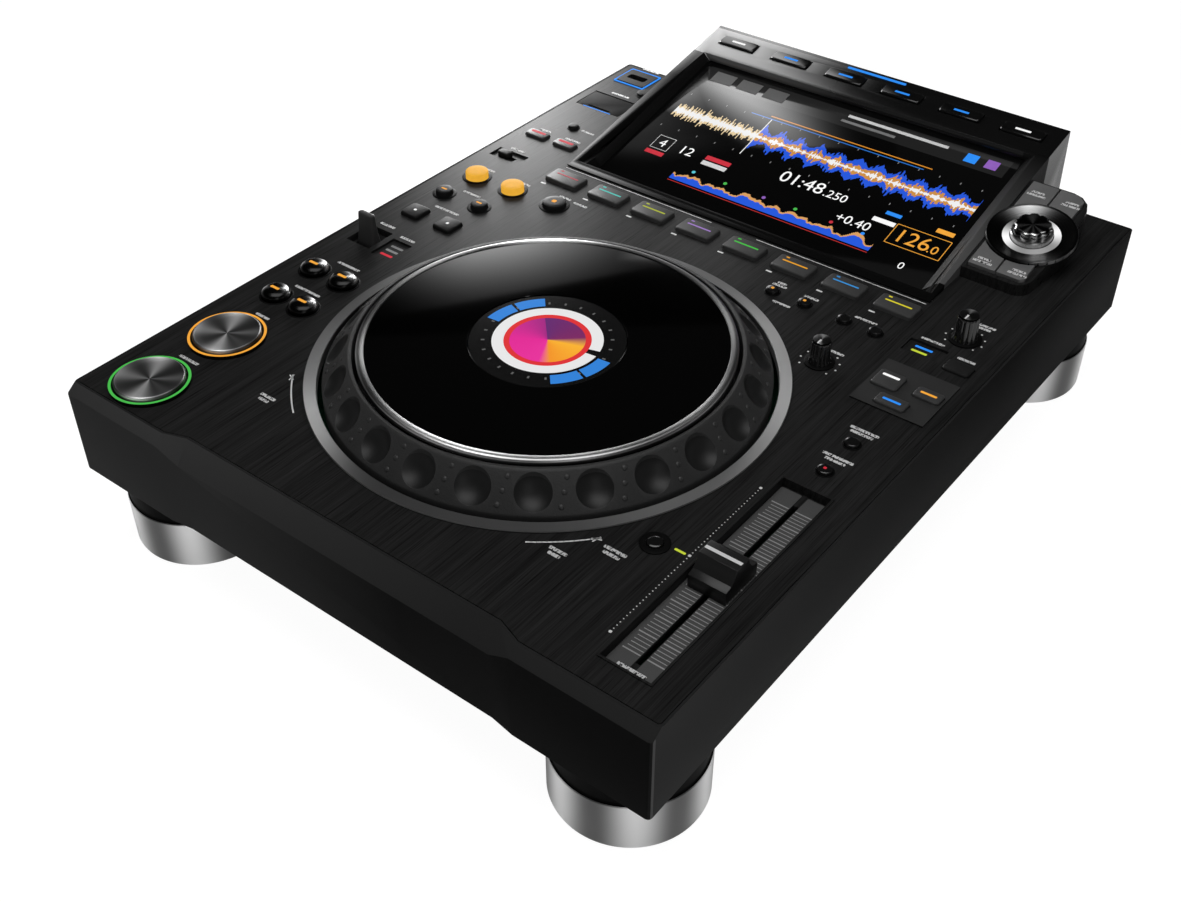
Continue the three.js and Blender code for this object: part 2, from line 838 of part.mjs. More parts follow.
// Hole of the memory stick socket
const stickHole = () =>
  roundedRectangle(
    stickSocket.x,
    stickSocket.y,
    stickSocket.width,
    stickSocket.depth,
    keyCorner,
    cornerStep,
  );

// Everything in the deck plate that keys, sockets and windows pass through
function plateHoles() {
  const singles = [
    ...hotCuePlaces(),
    playKey,
    cueKey,
    ...[searchKeys, trackKeys, jumpKeys, loopKeys, callKeys, memoryKeys].flatMap((pair) => [
      leftOf(pair),
      rightOf(pair),
    ]),
    loopInKey,
    loopOutKey,
    reloopKey,
    slipKey,
    quantizeKey,
    timeKey,
    stopKey,
    jogModeKey,
    syncKey,
    masterKey,
    keySyncKey,
    frontOf(tempoKeys),
    rearOf(tempoKeys),
    resetKey,
  ];
  const shaftHole = (knob) => circle(knob.x, knob.y, knobShaft + keyGap, knobSegments);
  return [
    circle(0, jogY, trimInner + trimSkirtWall + seatGap, jogSegments),
    ...singles.map(holeFor),
    shaftHole(releaseKnob),
    shaftHole(adjustKnob),
    rectangle(leverRecess.left, leverRecess.right, leverRecess.front, leverRecess.rear),
    stickHole(),
    rectangle(
      cardDoor.x - cardDoor.width / 2 - keyGap,
      cardDoor.x + cardDoor.width / 2 + keyGap,
      cardDoor.y - cardDoor.depth / 2 - keyGap,
      cardDoor.y + cardDoor.depth / 2 + keyGap,
    ),
    rectangle(
      faderX - faderFrameWidth / 2,
      faderX + faderFrameWidth / 2,
      faderFront,
      faderRear,
    ),
    rectangle(
      -glassHalfWidth - glassSeat - wellWall - 2 * seatGap,
      glassHalfWidth + glassSeat + wellWall + 2 * seatGap,
      glassFrontY - glassSeat - wellWall - skirtRun,
      rearFace - ledgeWidth - rimWidth - seatGap,
    ),
  ];
}

// A raised round bead on the deck, such as the light ring of a key
const bead = (key, inner, outer, rise, segments) =>
  turnedRing(
    [
      [inner, deckTop - overrun],
      [outer, deckTop - overrun],
      [outer - rise / 2, deckTop + rise],
      [inner, deckTop + rise],
    ],
    segments,
    key.x,
    key.y,
  );

// The sunk tray that the fader runs in, with a lip round it and a slit in its floor
function faderTray() {
  const left = faderX - faderFrameWidth / 2;
  const right = faderX + faderFrameWidth / 2;
  const wall = faderLip;
  const outer = block(
    left - wall,
    right + wall,
    faderFront - wall,
    faderRear + wall,
    deckTop - faderDrop - faderFloor,
    deckTop + faderLipRise,
  );
  const hollow = block(left, right, faderFront, faderRear, deckTop - faderDrop, housingTop);
  const slit = block(
    faderX - faderSlit / 2,
    faderX + faderSlit / 2,
    faderFront + faderSlitInset,
    faderRear - faderSlitInset,
    0,
    deckTop,
  );
  return cut(outer, hollow, slit);
}

// A moulded socket wall hanging below the deck plate
function socketBelow(x, y, width, depth, drop, wall) {
  const outer = roundedRectangle(x, y, width + 2 * wall, depth + 2 * wall, keyCorner, cornerStep);
  const inner = roundedRectangle(x, y, width, depth, keyCorner, cornerStep);
  const floor = deckTop - drop;
  return cut(prism(outer, floor - wall, deckTop - overrun), prism(inner, floor, deckTop));
}

// Dish of the selector: a raised bowl on the display's plane, bored for the shaft
function selectorDish() {
  const bowl = turnedRing(
    [
      [selectorShaft + keyGap, -moundWall],
      [dishFoot, -moundWall],
      [dishFoot, seatGap],
      [dishRadius, seatGap],
      [dishRadius, dishRise],
      [dishRadius - dishRim, dishRise],
      [dishFloor, dishFloorRise],
      [selectorShaft + keyGap, dishFloorRise],
    ],
    ringSegments,
  );
  return moved(bowl, dishFrame());
}

// Deck plate with the mound, the fader tray, the light rings and the sockets on it
function deckPlate() {
  const outline = deckOutline(rimWidth + seatGap);
  const plate = prism(outline, plateBottom, deckTop, plateHoles());
  const moundHole = moundBody(moundWall, plateBottom - overrun, moundWall);
  const moundSkin = moundBody(0, plateBottom, browseKeyRise / 2);
  const frame = dishFrame();
  const low = -browseKeyReach;
  const keyHoles = [
    [browseFront, keyGap - dishRadius / 2],
    [dishRadius / 2 - keyGap, browseRear],
  ].map(([front, rear]) =>
    moved(
      browseSlab(browseLeft - keyGap, browseRight + keyGap, front, rear, low, dishRadius),
      frame,
    ).intersect(prism(moundOutline(browseKeyInset - keyGap), 0, housingTop)),
  );
  const mound = cut(cut(moundSkin, moundHole), ...keyHoles);
  const bore = moved(drum(0, 0, selectorShaft + keyGap, -moundWall - overrun, dishRise), frame);
  const window = (at) =>
    block(
      at.x - at.width / 2,
      at.x + at.width / 2,
      at.y - at.depth / 2,
      at.y + at.depth / 2,
      deckTop - windowDepth,
      deckTop + overrun,
    );
  const pad = block(
    syncPad.left,
    syncPad.right,
    syncPad.front,
    syncPad.rear,
    plateBottom,
    deckTop + syncPad.rise,
  );
  const padHoles = [syncKey, masterKey, keySyncKey].map((key) =>
    prism(holeFor(key), plateBottom - overrun, housingTop),
  );
  const stick = prism(
    roundedRectangle(
      stickSocket.x,
      stickSocket.y,
      stickFrame.width,
      stickFrame.depth,
      keyCorner,
      cornerStep,
    ),
    plateBottom,
    deckTop + stickFrame.rise,
    [stickHole()],
  );
  const doorLedge = cut(
    block(
      cardDoor.x - cardDoor.width / 2 - cardSocket.wall,
      cardDoor.x + cardDoor.width / 2 + cardSocket.wall,
      cardDoor.y - cardDoor.depth / 2 - cardSocket.wall,
      cardDoor.y + cardDoor.depth / 2 + cardSocket.wall,
      plateBottom - cardSocket.wall,
      deckTop - cardDoor.thickness - seatGap,
    ),
    block(
      cardDoor.x - cardSocket.width / 2,
      cardDoor.x + cardSocket.width / 2,
      cardDoor.y - cardSocket.depth / 2,
      cardDoor.y + cardSocket.depth / 2,
      0,
      deckTop,
    ),
  );
  const leverBox = cut(
    block(
      leverRecess.left - faderLip,
      leverRecess.right + faderLip,
      leverRecess.front - faderLip,
      leverRecess.rear + faderLip,
      deckTop - leverSlotDepth - faderFloor,
      plateBottom + overrun / 2,
    ),
    block(
      leverRecess.left,
      leverRecess.right,
      leverRecess.front,
      leverRecess.rear,
      deckTop - leverSlotDepth,
      deckTop,
    ),
    block(
      lever.x - lever.baseWidth / 2 - keyGap,
      lever.x + lever.baseWidth / 2 + keyGap,
      lever.y - lever.baseDepth / 2 - leverSlotDepth / 2,
      lever.y + lever.baseDepth / 2 + leverSlotDepth / 2,
      0,
      deckTop,
    ),
  );
  const lockSlot = block(
    lockRecess.x - lockKnob.width / 2 - lockKnob.travel / 2 + keyStem,
    lockRecess.x + lockKnob.width / 2 + lockKnob.travel / 2 - keyStem,
    lockRecess.y - keyStem / 2 - keyGap,
    lockRecess.y + keyStem / 2 + keyGap,
    0,
    deckTop,
  );
  const base = cut(
    union(plate, pad),
    prism(moundOutline(moundWall), 0, deckTop + overrun),
    window(positionWindow),
    window(indicatorWindow),
    window(lockRecess),
    lockSlot,
    ...padHoles,
  );
  const rings = [playKey, cueKey].map((key) =>
    bead(key, lightRingInner, lightRingOuter, lightRingRise, keySegments),
  );
  return union(
    cut(union(base, mound, selectorDish()), bore),
    ...rings,
    bead(resetKey, resetKey.radius + keyGap, resetRing, faderLipRise, smallSegments),
    bead(releaseKnob, knobShaft + keyGap, releaseKnob.radius + knobDial, knobDialRise, knobSegments),
    bead(adjustKnob, knobShaft + keyGap, adjustKnob.radius + knobDial, knobDialRise, knobSegments),
    faderTray(),
    stick,
    socketBelow(
      stickSocket.x,
      stickSocket.y,
      stickSocket.width,
      stickSocket.depth,
      stickSocket.drop,
      stickSocket.wall,
    ),
    doorLedge,
    cut(
      socketBelow(
        cardDoor.x,
        cardDoor.y,
        cardSocket.width,
        cardSocket.depth,
        cardSocket.drop,
        cardSocket.wall,
      ),
      block(
        cardDoor.x - cardDoor.width / 2,
        cardDoor.x + cardDoor.width / 2,
        cardDoor.y - cardDoor.depth / 2,
        cardDoor.y + cardDoor.depth / 2,
        deckTop - cardDoor.thickness - seatGap,
        deckTop,
      ),
    ),
    leverBox,
  );
}

// A hollow socket shell behind the rear panel, open to the rear
function rearSocket(socket) {
  const panelFace = rearFace - shellWall - seatGap;
  const front = panelFace - socket.depth;
  const half = socket.width / 2;
  const low = socket.z - socket.height / 2;
  const high = socket.z + socket.height / 2;
  const wall = socketWall;
  return {
    shell: block(
      socket.x - half - wall,
      socket.x + half + wall,
      front - wall,
      panelFace,
      low - wall,
      high + wall,
    ),
    hollow: block(socket.x - half, socket.x + half, front, rearFace, low, high),
  };
}

// A round barrel along Y, for the phono sockets
function barrel(place, radius, near, far, segments = knobSegments) {
  const turned = new THREE.Matrix4().makeRotationX(Math.PI / 2);
  return shifted(moved(drum(0, 0, radius, -far, -near, segments), turned), place.x, 0, place.z);
}

// Chassis: tray floor, board posts, rear panel with its sockets
function baseChassis() {
  const left = -halfWidth + shellWall + seatGap;
  const front = frontFace + middleSetback + shellWall + seatGap;
  const rear = rearFace - shellWall - seatGap;
  const floorTop = trayLift + trayThickness;
  const panelLeft = rearWindowLeft - panelMargin;
  const panelRight = rearWindowRight + panelMargin;
  const panelTop = rearWindowFoot + rearWindowHeight + panelMargin;
  const sockets = [mainsInlet, networkSocket, computerSocket].map(rearSocket);
  const posts = postPlaces.map((place) =>
    drum(place.x, place.y, postRadius, floorTop - overrun, boardBottom - seatGap, postSegments),
  );
  const phonos = phonoPlaces.map((place) =>
    barrel(place, phonoRadius, rear - panelThickness, rear + phonoLength),
  );
  const phonoBores = phonoPlaces.map((place) =>
    barrel(place, phonoRadius - socketWall, rear, rear + phonoLength + overrun, smallSegments),
  );
  const switchHole = block(
    powerSwitch.x - powerSwitch.width / 2 - keyGap,
    powerSwitch.x + powerSwitch.width / 2 + keyGap,
    rear - panelThickness - overrun,
    rear + overrun,
    powerSwitch.z - powerSwitch.height / 2 - keyGap,
    powerSwitch.z + powerSwitch.height / 2 + keyGap,
  );
  const prongs = [-1, 0, 1].map((side) => {
    const x = mainsInlet.x + (side * mainsInlet.width) / 4;
    const z = mainsInlet.z + (side ? -1 : 1) * pinRadius;
    const end = rear - mainsInlet.prong;
    const start = rear - mainsInlet.depth - socketWall / 2;
    return block(x - pinRadius / 2, x + pinRadius / 2, start, end, z - pinRadius, z + pinRadius);
  });
  const studHoles = [footFrontY, footRearY].flatMap((y) =>
    [-footX, footX].map((x) => drum(x, y, footStud + seatGap, 0, floorTop + overrun, smallSegments)),
  );
  const pedestal = drum(0, jogY, bearingFlange, floorTop - overrun, pedestalTop, pedestalSegments);
  const walls = union(
    block(left, -left, front, rear, trayLift, floorTop),
    block(panelLeft, panelRight, rear - panelThickness, rear, floorTop - overrun, panelTop),
    pedestal,
    ...posts,
    ...phonos,
    ...sockets.map((socket) => socket.shell),
  );
  const pedestalHollow = drum(
    0,
    jogY,
    bearingRadius - bearingWall,
    trayLift - overrun,
    pedestalTop + overrun,
    pedestalSegments,
  );
  return cut(
    walls,
    ...sockets.map((socket) => socket.hollow),
    ...phonoBores,
    switchHole,
    pedestalHollow,
    ...studHoles,
  ).add(union(...prongs));
}

// Rear rocker of the mains switch: a bowed paddle on a short body
function powerRocker() {
  const rear = rearFace - shellWall - seatGap;
  const half = powerSwitch.height / 2;
  const paddle = profileAlongX(
    [
      new THREE.Vector2(rear - powerSwitch.depth, powerSwitch.z - half / 2),
      new THREE.Vector2(rear - panelThickness, powerSwitch.z - half),
      new THREE.Vector2(rear + powerSwitch.rise, powerSwitch.z - half + keyChamfer),
      new THREE.Vector2(rear + powerSwitch.rise / 2, powerSwitch.z),
      new THREE.Vector2(rear + powerSwitch.rise, powerSwitch.z + half - keyChamfer),
      new THREE.Vector2(rear - panelThickness, powerSwitch.z + half),
      new THREE.Vector2(rear - powerSwitch.depth, powerSwitch.z + half / 2),
    ],
    powerSwitch.x - powerSwitch.width / 2,
    powerSwitch.x + powerSwitch.width / 2,
  );
  return paddle;
}

// One foot: black upper ring, groove, metal sleeve with a rounded lower edge, stud on top
function foot(x, y) {
  const top = -seatGap;
  const band = -footBandDrop;
  return turning(
    [
      [0, -footHeight],
      [footRadius - footRound, -footHeight],
      [footRadius - footRound * (1 - Math.SQRT1_2), -footHeight + footRound * (1 - Math.SQRT1_2)],
      [footRadius, -footHeight + footRound],
      [footRadius, band - footGroove],
      [footRadius - footGroove, band - footGroove],
      [footRadius - footGroove, band],
      [footRadius - footInset, band],
      [footRadius - footInset, top],
      [footStud, top],
      [footStud, footStudRise],
      [0, footStudRise],
    ],
    footSegments,
    x,
    y,
  );
}

// Circuit board with cut-outs for the jog pedestal, the foot studs and the rear sockets
function circuitBoard() {
  const left = -halfWidth + shellWall + boardMargin;
  const front = frontFace + middleSetback + shellWall + boardMargin;
    const middle = (front + boardRear) / 2;
  const depth = boardRear - front;
  const outline = roundedRectangle(0, middle, -2 * left, depth, boardMargin, boardCornerSteps);
  return prism(outline, boardBottom, boardTop, [circle(0, jogY, boardHub, pedestalSegments)]);
}

// Bearing: flange on the pedestal and the fixed sleeve that the hub turns on
function jogBearing() {
  const base = pedestalTop + seatGap;
  return turnedRing(
    [
      [bearingRadius - bearingWall, base],
      [bearingFlange, base],
      [bearingFlange, base + bearingFlangeThickness],
      [bearingRadius, base + bearingFlangeThickness],
      [bearingRadius, bearingTop],
      [bearingRadius - bearingWall, bearingTop],
    ],
    ringSegments,
    0,
    jogY,
  );
}

// Trim ring: a flat metal ring on the deck with a skirt through the plate
function trimRing() {
  const low = deckTop + seatGap;
  const high = deckTop + trimRise;
  const chamfer = (trimRise - seatGap) / 2;
  return turnedRing(
    [
      [trimInner, deckTop - trimSkirt],
      [trimInner + trimSkirtWall, deckTop - trimSkirt],
      [trimInner + trimSkirtWall, low],
      [trimOuter, low],
      [trimOuter - chamfer, high],
      [trimInner + chamfer, high],
      [trimInner, high - chamfer],
    ],
    jogSegments,
    0,
    jogY,
  );
}

// A shallow round cutter with an arched underside, for one dimple of the grip ring
function dimpleCutter() {
  const ball = (dimpleRadius ** 2 + dimpleDepth ** 2) / (2 * dimpleDepth);
  const profile = [];
  const sweep = Math.asin(dimpleRadius / ball);
  for (let k = 0; k <= dimpleSteps; k += 1) {
    const turn = (sweep * k) / dimpleSteps;
    profile.push([ball * Math.sin(turn), ball - dimpleDepth - ball * Math.cos(turn)]);
  }
  profile.push([dimpleRadius, dimpleDepth], [0, dimpleDepth]);
  return turning(profile, dimpleSegments);
}

// Frame on the middle of the grip slope, with Z standing square to the slope
function slopeFrame(angle) {
  const rise = gripTopRise - gripRise;
  const run = gripOuter - gripTopRadius;
  const radius = (gripOuter + gripTopRadius) / 2;
  const height = deckTop + (gripRise + gripTopRise) / 2;
  const lean = new THREE.Matrix4().makeRotationY(Math.atan2(rise, run));
  const out = new THREE.Matrix4().makeTranslation(radius, 0, height).multiply(lean);
  const spin = new THREE.Matrix4().makeRotationZ(angle);
  return new THREE.Matrix4().makeTranslation(0, jogY, 0).multiply(spin).multiply(out);
}

// Grip ring with its dimples, the web under it and the hub
function gripRing() {
  const skirtBottom = deckTop - gripSkirt;
  const webTop = deckTop - webDrop + webThickness;
  const rimInner = gripOuter - gripWall;
  const ring = turnedRing(
    [
      [bearingRadius + runGap, hubFoot],
      [bearingRadius + runGap + hubWall, hubFoot],
      [bearingRadius + runGap + hubWall, webTop - webThickness],
      [gripInner - gripWall, webTop - webThickness],
      [rimInner, skirtBottom],
      [gripOuter, skirtBottom],
      [gripOuter, deckTop + gripRise],
      [gripTopRadius + gripRound / 2, deckTop + gripTopRise - gripRound / 2],
      [gripTopRadius, deckTop + gripTopRise],
      [gripInner, deckTop + gripTopRise],
      [gripInner, webTop],
      [bearingRadius + runGap, webTop],
    ],
    jogSegments,
    0,
    jogY,
  );
  const cutter = dimpleCutter();
  const dimples = [];
  for (let k = 0; k < dimpleCount; k += 1) {
    const angle = dimpleOffset * degree + (2 * Math.PI * k) / dimpleCount;
    dimples.push(moved(cutter, slopeFrame(angle)));
  }
  return cut(ring, ...dimples);
}

// Top plate of the jog wheel: gloss disc with a metal rim, open for the centre dial
function topPlate() {
  const top = deckTop + platterRise;
  const webTop = deckTop - webDrop + webThickness;
  const low = top - platterThickness;
  return turnedRing(
    [
      [dialRadius + seatGap, low],
      [dialRadius + seatGap + hubWall, low],
      [dialRadius + seatGap + hubWall, webTop + seatGap],
      [dialRadius + seatGap + 2 * hubWall, webTop + seatGap],
      [dialRadius + seatGap + 2 * hubWall, low],
      [platterOuter, low],
      [platterOuter, top - platterRimRise],
      [platterOuter - platterRim / 2, top],
      [platterOuter - platterRim, top - platterRimRise],
      [dialRadius + seatGap, top - platterRimRise],
    ],
    jogSegments,
    0,
    jogY,
  );
}

// Centre dial on its fixed stalk inside the bearing
function jogDial() {
  const top = deckTop + platterRise - platterRimRise - dialDrop;
  const stalk = bearingRadius - bearingWall - seatGap;
  return turning(
    [
      [0, pedestalTop - trayThickness],
      [stalk, pedestalTop - trayThickness],
      [stalk, top - dialThickness],
      [dialRadius, top - dialThickness],
      [dialRadius, top],
      [0, top],
    ],
    dialSegments,
    0,
    jogY,
  );
}

// Frame of the display glass: X across, Y up the slope, Z out of the glass
function glassFrame() {
  const tilt = new THREE.Matrix4().makeRotationX(glassTilt);
  const place = new THREE.Matrix4();
  place.makeTranslation(0, glassFrontY, deckTop - glassFrontDrop);
  return place.multiply(tilt);
}

// A four-sided funnel over the glass, wider at its mouth
function wellFunnel(grow) {
  const half = glassHalfWidth + grow;
  const spread = wellDepth;
  const side = wellHalfWidth - glassHalfWidth;
  const ring = (out, back, front, z) =>
    rectangle(-half - out, half + out, -grow - front, glassLength + grow + back).map(
      (point) => new THREE.Vector3(point.x, point.y, z),
    );
  const mouth = spread * 2;
  return loft(
    [
      ring(0, 0, 0, 0),
      ring(side * (spread / wellDepth), wellBackSlope, wellFrontSlope, spread),
      ring(side * (mouth / wellDepth), wellBackSlope * 2, wellFrontSlope * 2, mouth),
    ],
    flatPlan,
  );
}

function menuKeyPlaces() {
  const places = [];
  for (let k = 0; k < menuKeyCount; k += 1) {
    places.push((k - (menuKeyCount - 1) / 2) * menuKeyPitch);
  }
  return places;
}

// Frame of the menu keys: on the display's plane at their row
function menuFrame(x) {
  const tilt = new THREE.Matrix4().makeRotationX(slopeAngle);
  return new THREE.Matrix4().makeTranslation(x, menuKeyY, planeHeight(menuKeyY)).multiply(tilt);
}

// Outline of the housing seen from the side
function housingOutline() {
  const foot = deckTop + seatGap;
  const behind = rearFace + seatGap;
  return [
    new THREE.Vector2(housingFront, foot),
    new THREE.Vector2(behind, foot),
    new THREE.Vector2(behind, deckTop - lapFoot),
    new THREE.Vector2(housingRear, deckTop - lapDrop),
    new THREE.Vector2(stripRear, housingTop),
    new THREE.Vector2(slopeStart, deckTop + housingLip),
    new THREE.Vector2(housingFront, deckTop + housingLip),
  ];
}

// Display housing: a hollow wedge with a bevelled well for the glass and six key holes
function displayHousing() {
  const half = housingWidth / 2;
  const outer = profileAlongX(housingOutline(), -half, half);
  const hollow = profileAlongX(
    [
      new THREE.Vector2(housingFront + housingWall, deckTop - overrun),
      new THREE.Vector2(rearFace - shellWall, deckTop - overrun),
      new THREE.Vector2(rearFace - shellWall, deckTop + housingWall),
      new THREE.Vector2(stripRear - housingWall, deckTop + housingWall),
      new THREE.Vector2(stripRear - housingWall, planeHeight(stripRear) - housingWall),
      new THREE.Vector2(slopeStart + hollowRun, planeHeight(slopeStart) + seatGap),
      new THREE.Vector2(slopeStart + housingWall, deckTop - seatGap),
    ],
    -half + housingWall,
    half - housingWall,
  );
  const frame = glassFrame();
  const pocketHalf = glassHalfWidth + glassSeat + seatGap;
  const pocketFront = -glassSeat - seatGap;
  const pocketRear = glassLength + glassSeat + seatGap;
  const rimLow = -glassThickness - seatGap;
  const tubWall = block(
    -pocketHalf - wellWall,
    pocketHalf + wellWall,
    pocketFront - wellWall,
    pocketRear + wellWall,
    rimLow,
    wellDepth,
  );
  const ceiling = profileAlongX(
    [
      new THREE.Vector2(housingFront, deckTop - lapFoot),
      new THREE.Vector2(rearFace - rimWidth - ledgeWidth - shellWall, deckTop - lapFoot),
      new THREE.Vector2(rearFace - rimWidth - ledgeWidth - shellWall, deckTop + seatGap),
      new THREE.Vector2(stripRear, deckTop + seatGap),
      new THREE.Vector2(stripRear, planeHeight(stripRear)),
      new THREE.Vector2(slopeStart, deckTop + housingLip),
      new THREE.Vector2(housingFront, deckTop + housingLip),
    ],
    -half,
    half,
  );
  const well = moved(tubWall, frame).intersect(ceiling);
  const funnel = moved(wellFunnel(0), frame);
  const through = block(
    -glassHalfWidth,
    glassHalfWidth,
    0,
    glassLength,
    rimLow - overrun,
    overrun,
  );
  const pocket = block(
    -pocketHalf,
    pocketHalf,
    pocketFront,
    pocketRear,
    rimLow - overrun,
    0,
  );
  const keyHoles = menuKeyPlaces().map((x) =>
    moved(
      block(
        -menuKeyWidth / 2 - keyGap,
        menuKeyWidth / 2 + keyGap,
        -menuKeyDepth / 2 - keyGap,
        menuKeyDepth / 2 + keyGap,
        -menuHoleReach,
        menuKeyRise,
      ),
      menuFrame(x),
    ),
  );
  return cut(
    union(cut(outer, hollow), well),
    funnel,
    moved(through, frame),
    moved(pocket, frame),
    ...keyHoles,
  );
}

// Glass with the flat panel behind it
function displayGlass() {
  const half = glassHalfWidth + glassSeat;
  const inset = panelBlockInset;
  return moved(
    union(
      block(-half, half, -glassSeat, glassLength + glassSeat, -seatGap - glassThickness, -seatGap),
      block(
        -glassHalfWidth + inset,
        glassHalfWidth - inset,
        inset,
        glassLength - inset,
        -seatGap - glassThickness - panelBlock,
        -seatGap - glassThickness / 2,
      ),
    ),
    glassFrame(),
  );
}

// One menu key: a low cap with a retaining rib under the housing's skin
function menuKey(x) {
  const key = { x: 0, y: 0, width: menuKeyWidth, depth: menuKeyDepth };
  const under = -housingWall - seatGap - flangeThickness;
  return moved(
    union(
      cap(boxOutline(key), under, menuKeyRise),
      block(
        -menuKeyWidth / 2 - flange,
        menuKeyWidth / 2 + flange,
        -menuKeyDepth / 4,
        menuKeyDepth / 4,
        under,
        under + flangeThickness,
      ),
    ),
    menuFrame(x),
  );
}

// Rotary selector: knurled base, waisted and lobed cap, shaft through the dish
function rotarySelector() {
  const lobed = (radius, z) => {
    const points = [];
    const count = selectorLobes * 3;
    for (let k = 0; k < count; k += 1) {
      const turn = (2 * Math.PI * k) / count;
      const reach = radius - (k % 3 === 0 ? selectorWaist / 2 : 0);
      points.push(new THREE.Vector3(reach * Math.cos(turn), reach * Math.sin(turn), z));
    }
    return points;
  };
  const low = dishFloorRise + seatGap;
  const waist = selectorRadius - selectorWaist;
  const knob = loft(
    [
      lobed(selectorBase, low),
      lobed(selectorBase, low + selectorBaseRise),
      lobed(waist, low + selectorWaistRise),
      lobed(selectorRadius, low + selectorShoulderRise),
      lobed(selectorRadius - selectorWaist, low + selectorHeight),
    ],
    flatPlan,
  );
  const shaft = drum(0, 0, selectorShaft, -browseKeyReach / 2, low + overrun, smallSegments);
  return moved(union(knob, shaft), dishFrame());
}

// A small ribbed knob with a conical top and a shaft through the deck
function ribbedKnob(knob) {
  const ring = (radius, z) => {
    const points = [];
    const count = knobRibs * 2;
    for (let k = 0; k < count; k += 1) {
      const turn = (2 * Math.PI * k) / count;
      const reach = radius - (k % 2 ? knobRib : 0);
      const x = knob.x + reach * Math.cos(turn);
      points.push(new THREE.Vector3(x, knob.y + reach * Math.sin(turn), z));
    }
    return points;
  };
  const low = deckTop + knobDialRise + seatGap;
  const high = deckTop + knob.rise;
  return union(
    loft(
      [
        ring(knob.radius, low),
        ring(knob.radius * knobTopShare, high - knobRib),
        ring(knob.radius * knobTopShare - knobRib, high),
      ],
      flatPlan,
    ),
    drum(knob.x, knob.y, knobShaft, stemFoot, low + overrun, smallSegments),
  );
}

// A round key whose top is a shallow dish
function dishedKey(key) {
  const body = pushKey(key);
  const ball = (key.radius ** 2 + keyDish ** 2) / (2 * keyDish);
  const inner = key.radius - 2 * keyChamfer;
  const top = deckTop + key.rise;
  const scoop = turning(
    [
      [0, top - keyDish],
      [inner / 2, top - keyDish + (inner / 2) ** 2 / (2 * ball)],
      [inner, top],
      [inner, top + overrun],
      [0, top + overrun],
    ],
    keySegments,
    key.x,
    key.y,
  );
  return body.subtract(scoop);
}

// Domed twin caps, as on the search keys
function domedTwin(pair) {
  const first = leftOf(pair);
  const second = rightOf(pair);
  const dome = (key) =>
    turning(
      [
        [0, deckTop + key.rise / 2],
        [key.radius * domeFootShare, deckTop + key.rise / 2],
        [key.radius * domeShare, deckTop + key.rise - keyChamfer],
        [key.radius * domeShare - keyChamfer, deckTop + key.rise],
        [0, deckTop + key.rise],
      ],
      smallSegments,
      key.x,
      key.y,
    );
  const lower = { ...pair, rise: pair.rise / 2 + keyChamfer };
  return union(twinKey(leftOf(lower), rightOf(lower)), dome(first), dome(second));
}

// Direction lever: tapered blade on a rounded foot that tips about X
function directionLever() {
  const outline = (width, depth) =>
    roundedRectangle(lever.x, lever.y, width, depth, keyCorner, cornerStep);
  const foot = deckTop - leverSlotDepth - faderFloor - overrun;
  return union(
    loft(
      [
        atHeight(outline(lever.baseWidth, lever.baseDepth), foot),
        atHeight(outline(lever.baseWidth, lever.baseDepth), deckTop - leverSlotDepth / 2),
        atHeight(outline(lever.width + keyCorner, lever.depth + keyCorner), deckTop + lever.rise / 4),
        atHeight(outline(lever.width, lever.depth), deckTop + lever.rise - keyChamfer),
        atHeight(
          outline(lever.width - 2 * keyChamfer, lever.depth - 2 * keyChamfer),
          deckTop + lever.rise,
        ),
      ],
      flatPlan,
    ),
    block(
      lever.x - keyStem,
      lever.x + keyStem,
      lever.y - keyStem / 2,
      lever.y + keyStem / 2,
      stemFoot + keyTravel,
      foot + overrun / 2,
    ),
  );
}

// Lock switch: a small ridged slider in its recess, held by a shoe under the plate
function lockSwitch() {
  const x = lockRecess.x - lockKnob.travel / 2;
  const y = lockRecess.y;
  const floor = deckTop - windowDepth + seatGap;
  const knob = { x, y, width: lockKnob.width, depth: lockKnob.depth };
  return union(
    cap(boxOutline(knob), floor, deckTop + lockKnob.rise),
    block(
      x - lockKnob.width / 2 + keyStem + keyGap,
      x + lockKnob.width / 2 - keyStem - keyGap,
      y - keyStem / 2,
      y + keyStem / 2,
      plateBottom - seatGap - flangeThickness,
      floor + keyChamfer,
    ),
    block(
      x - lockKnob.width / 4,
      x + lockKnob.width / 4,
      y - keyStem,
      y + keyStem,
      plateBottom - seatGap - flangeThickness,
      plateBottom - seatGap,
    ),
  );
}

// Card door: a thin flap with a finger groove and hinge pins along its rear edge
function cardFlap() {
  const left = cardDoor.x - cardDoor.width / 2;
  const right = cardDoor.x + cardDoor.width / 2;
  const front = cardDoor.y - cardDoor.depth / 2;
  const rear = cardDoor.y + cardDoor.depth / 2;
  const low = deckTop - cardDoor.thickness;
  const groove = cardDoor.thickness / 2;
  return cut(
    profileAlongX(
      [
        new THREE.Vector2(front, low),
        new THREE.Vector2(rear - groove, low),
        new THREE.Vector2(rear, deckTop - groove),
        new THREE.Vector2(rear - groove, deckTop),
        new THREE.Vector2(front, deckTop),
      ],
      left,
      right,
    ),
    block(
      cardDoor.x - cardDoor.width / 4,
      cardDoor.x + cardDoor.width / 4,
      front + groove,
      front + groove + cardDoor.thickness,
      deckTop - groove,
      deckTop + overrun,
    ),
  );
}

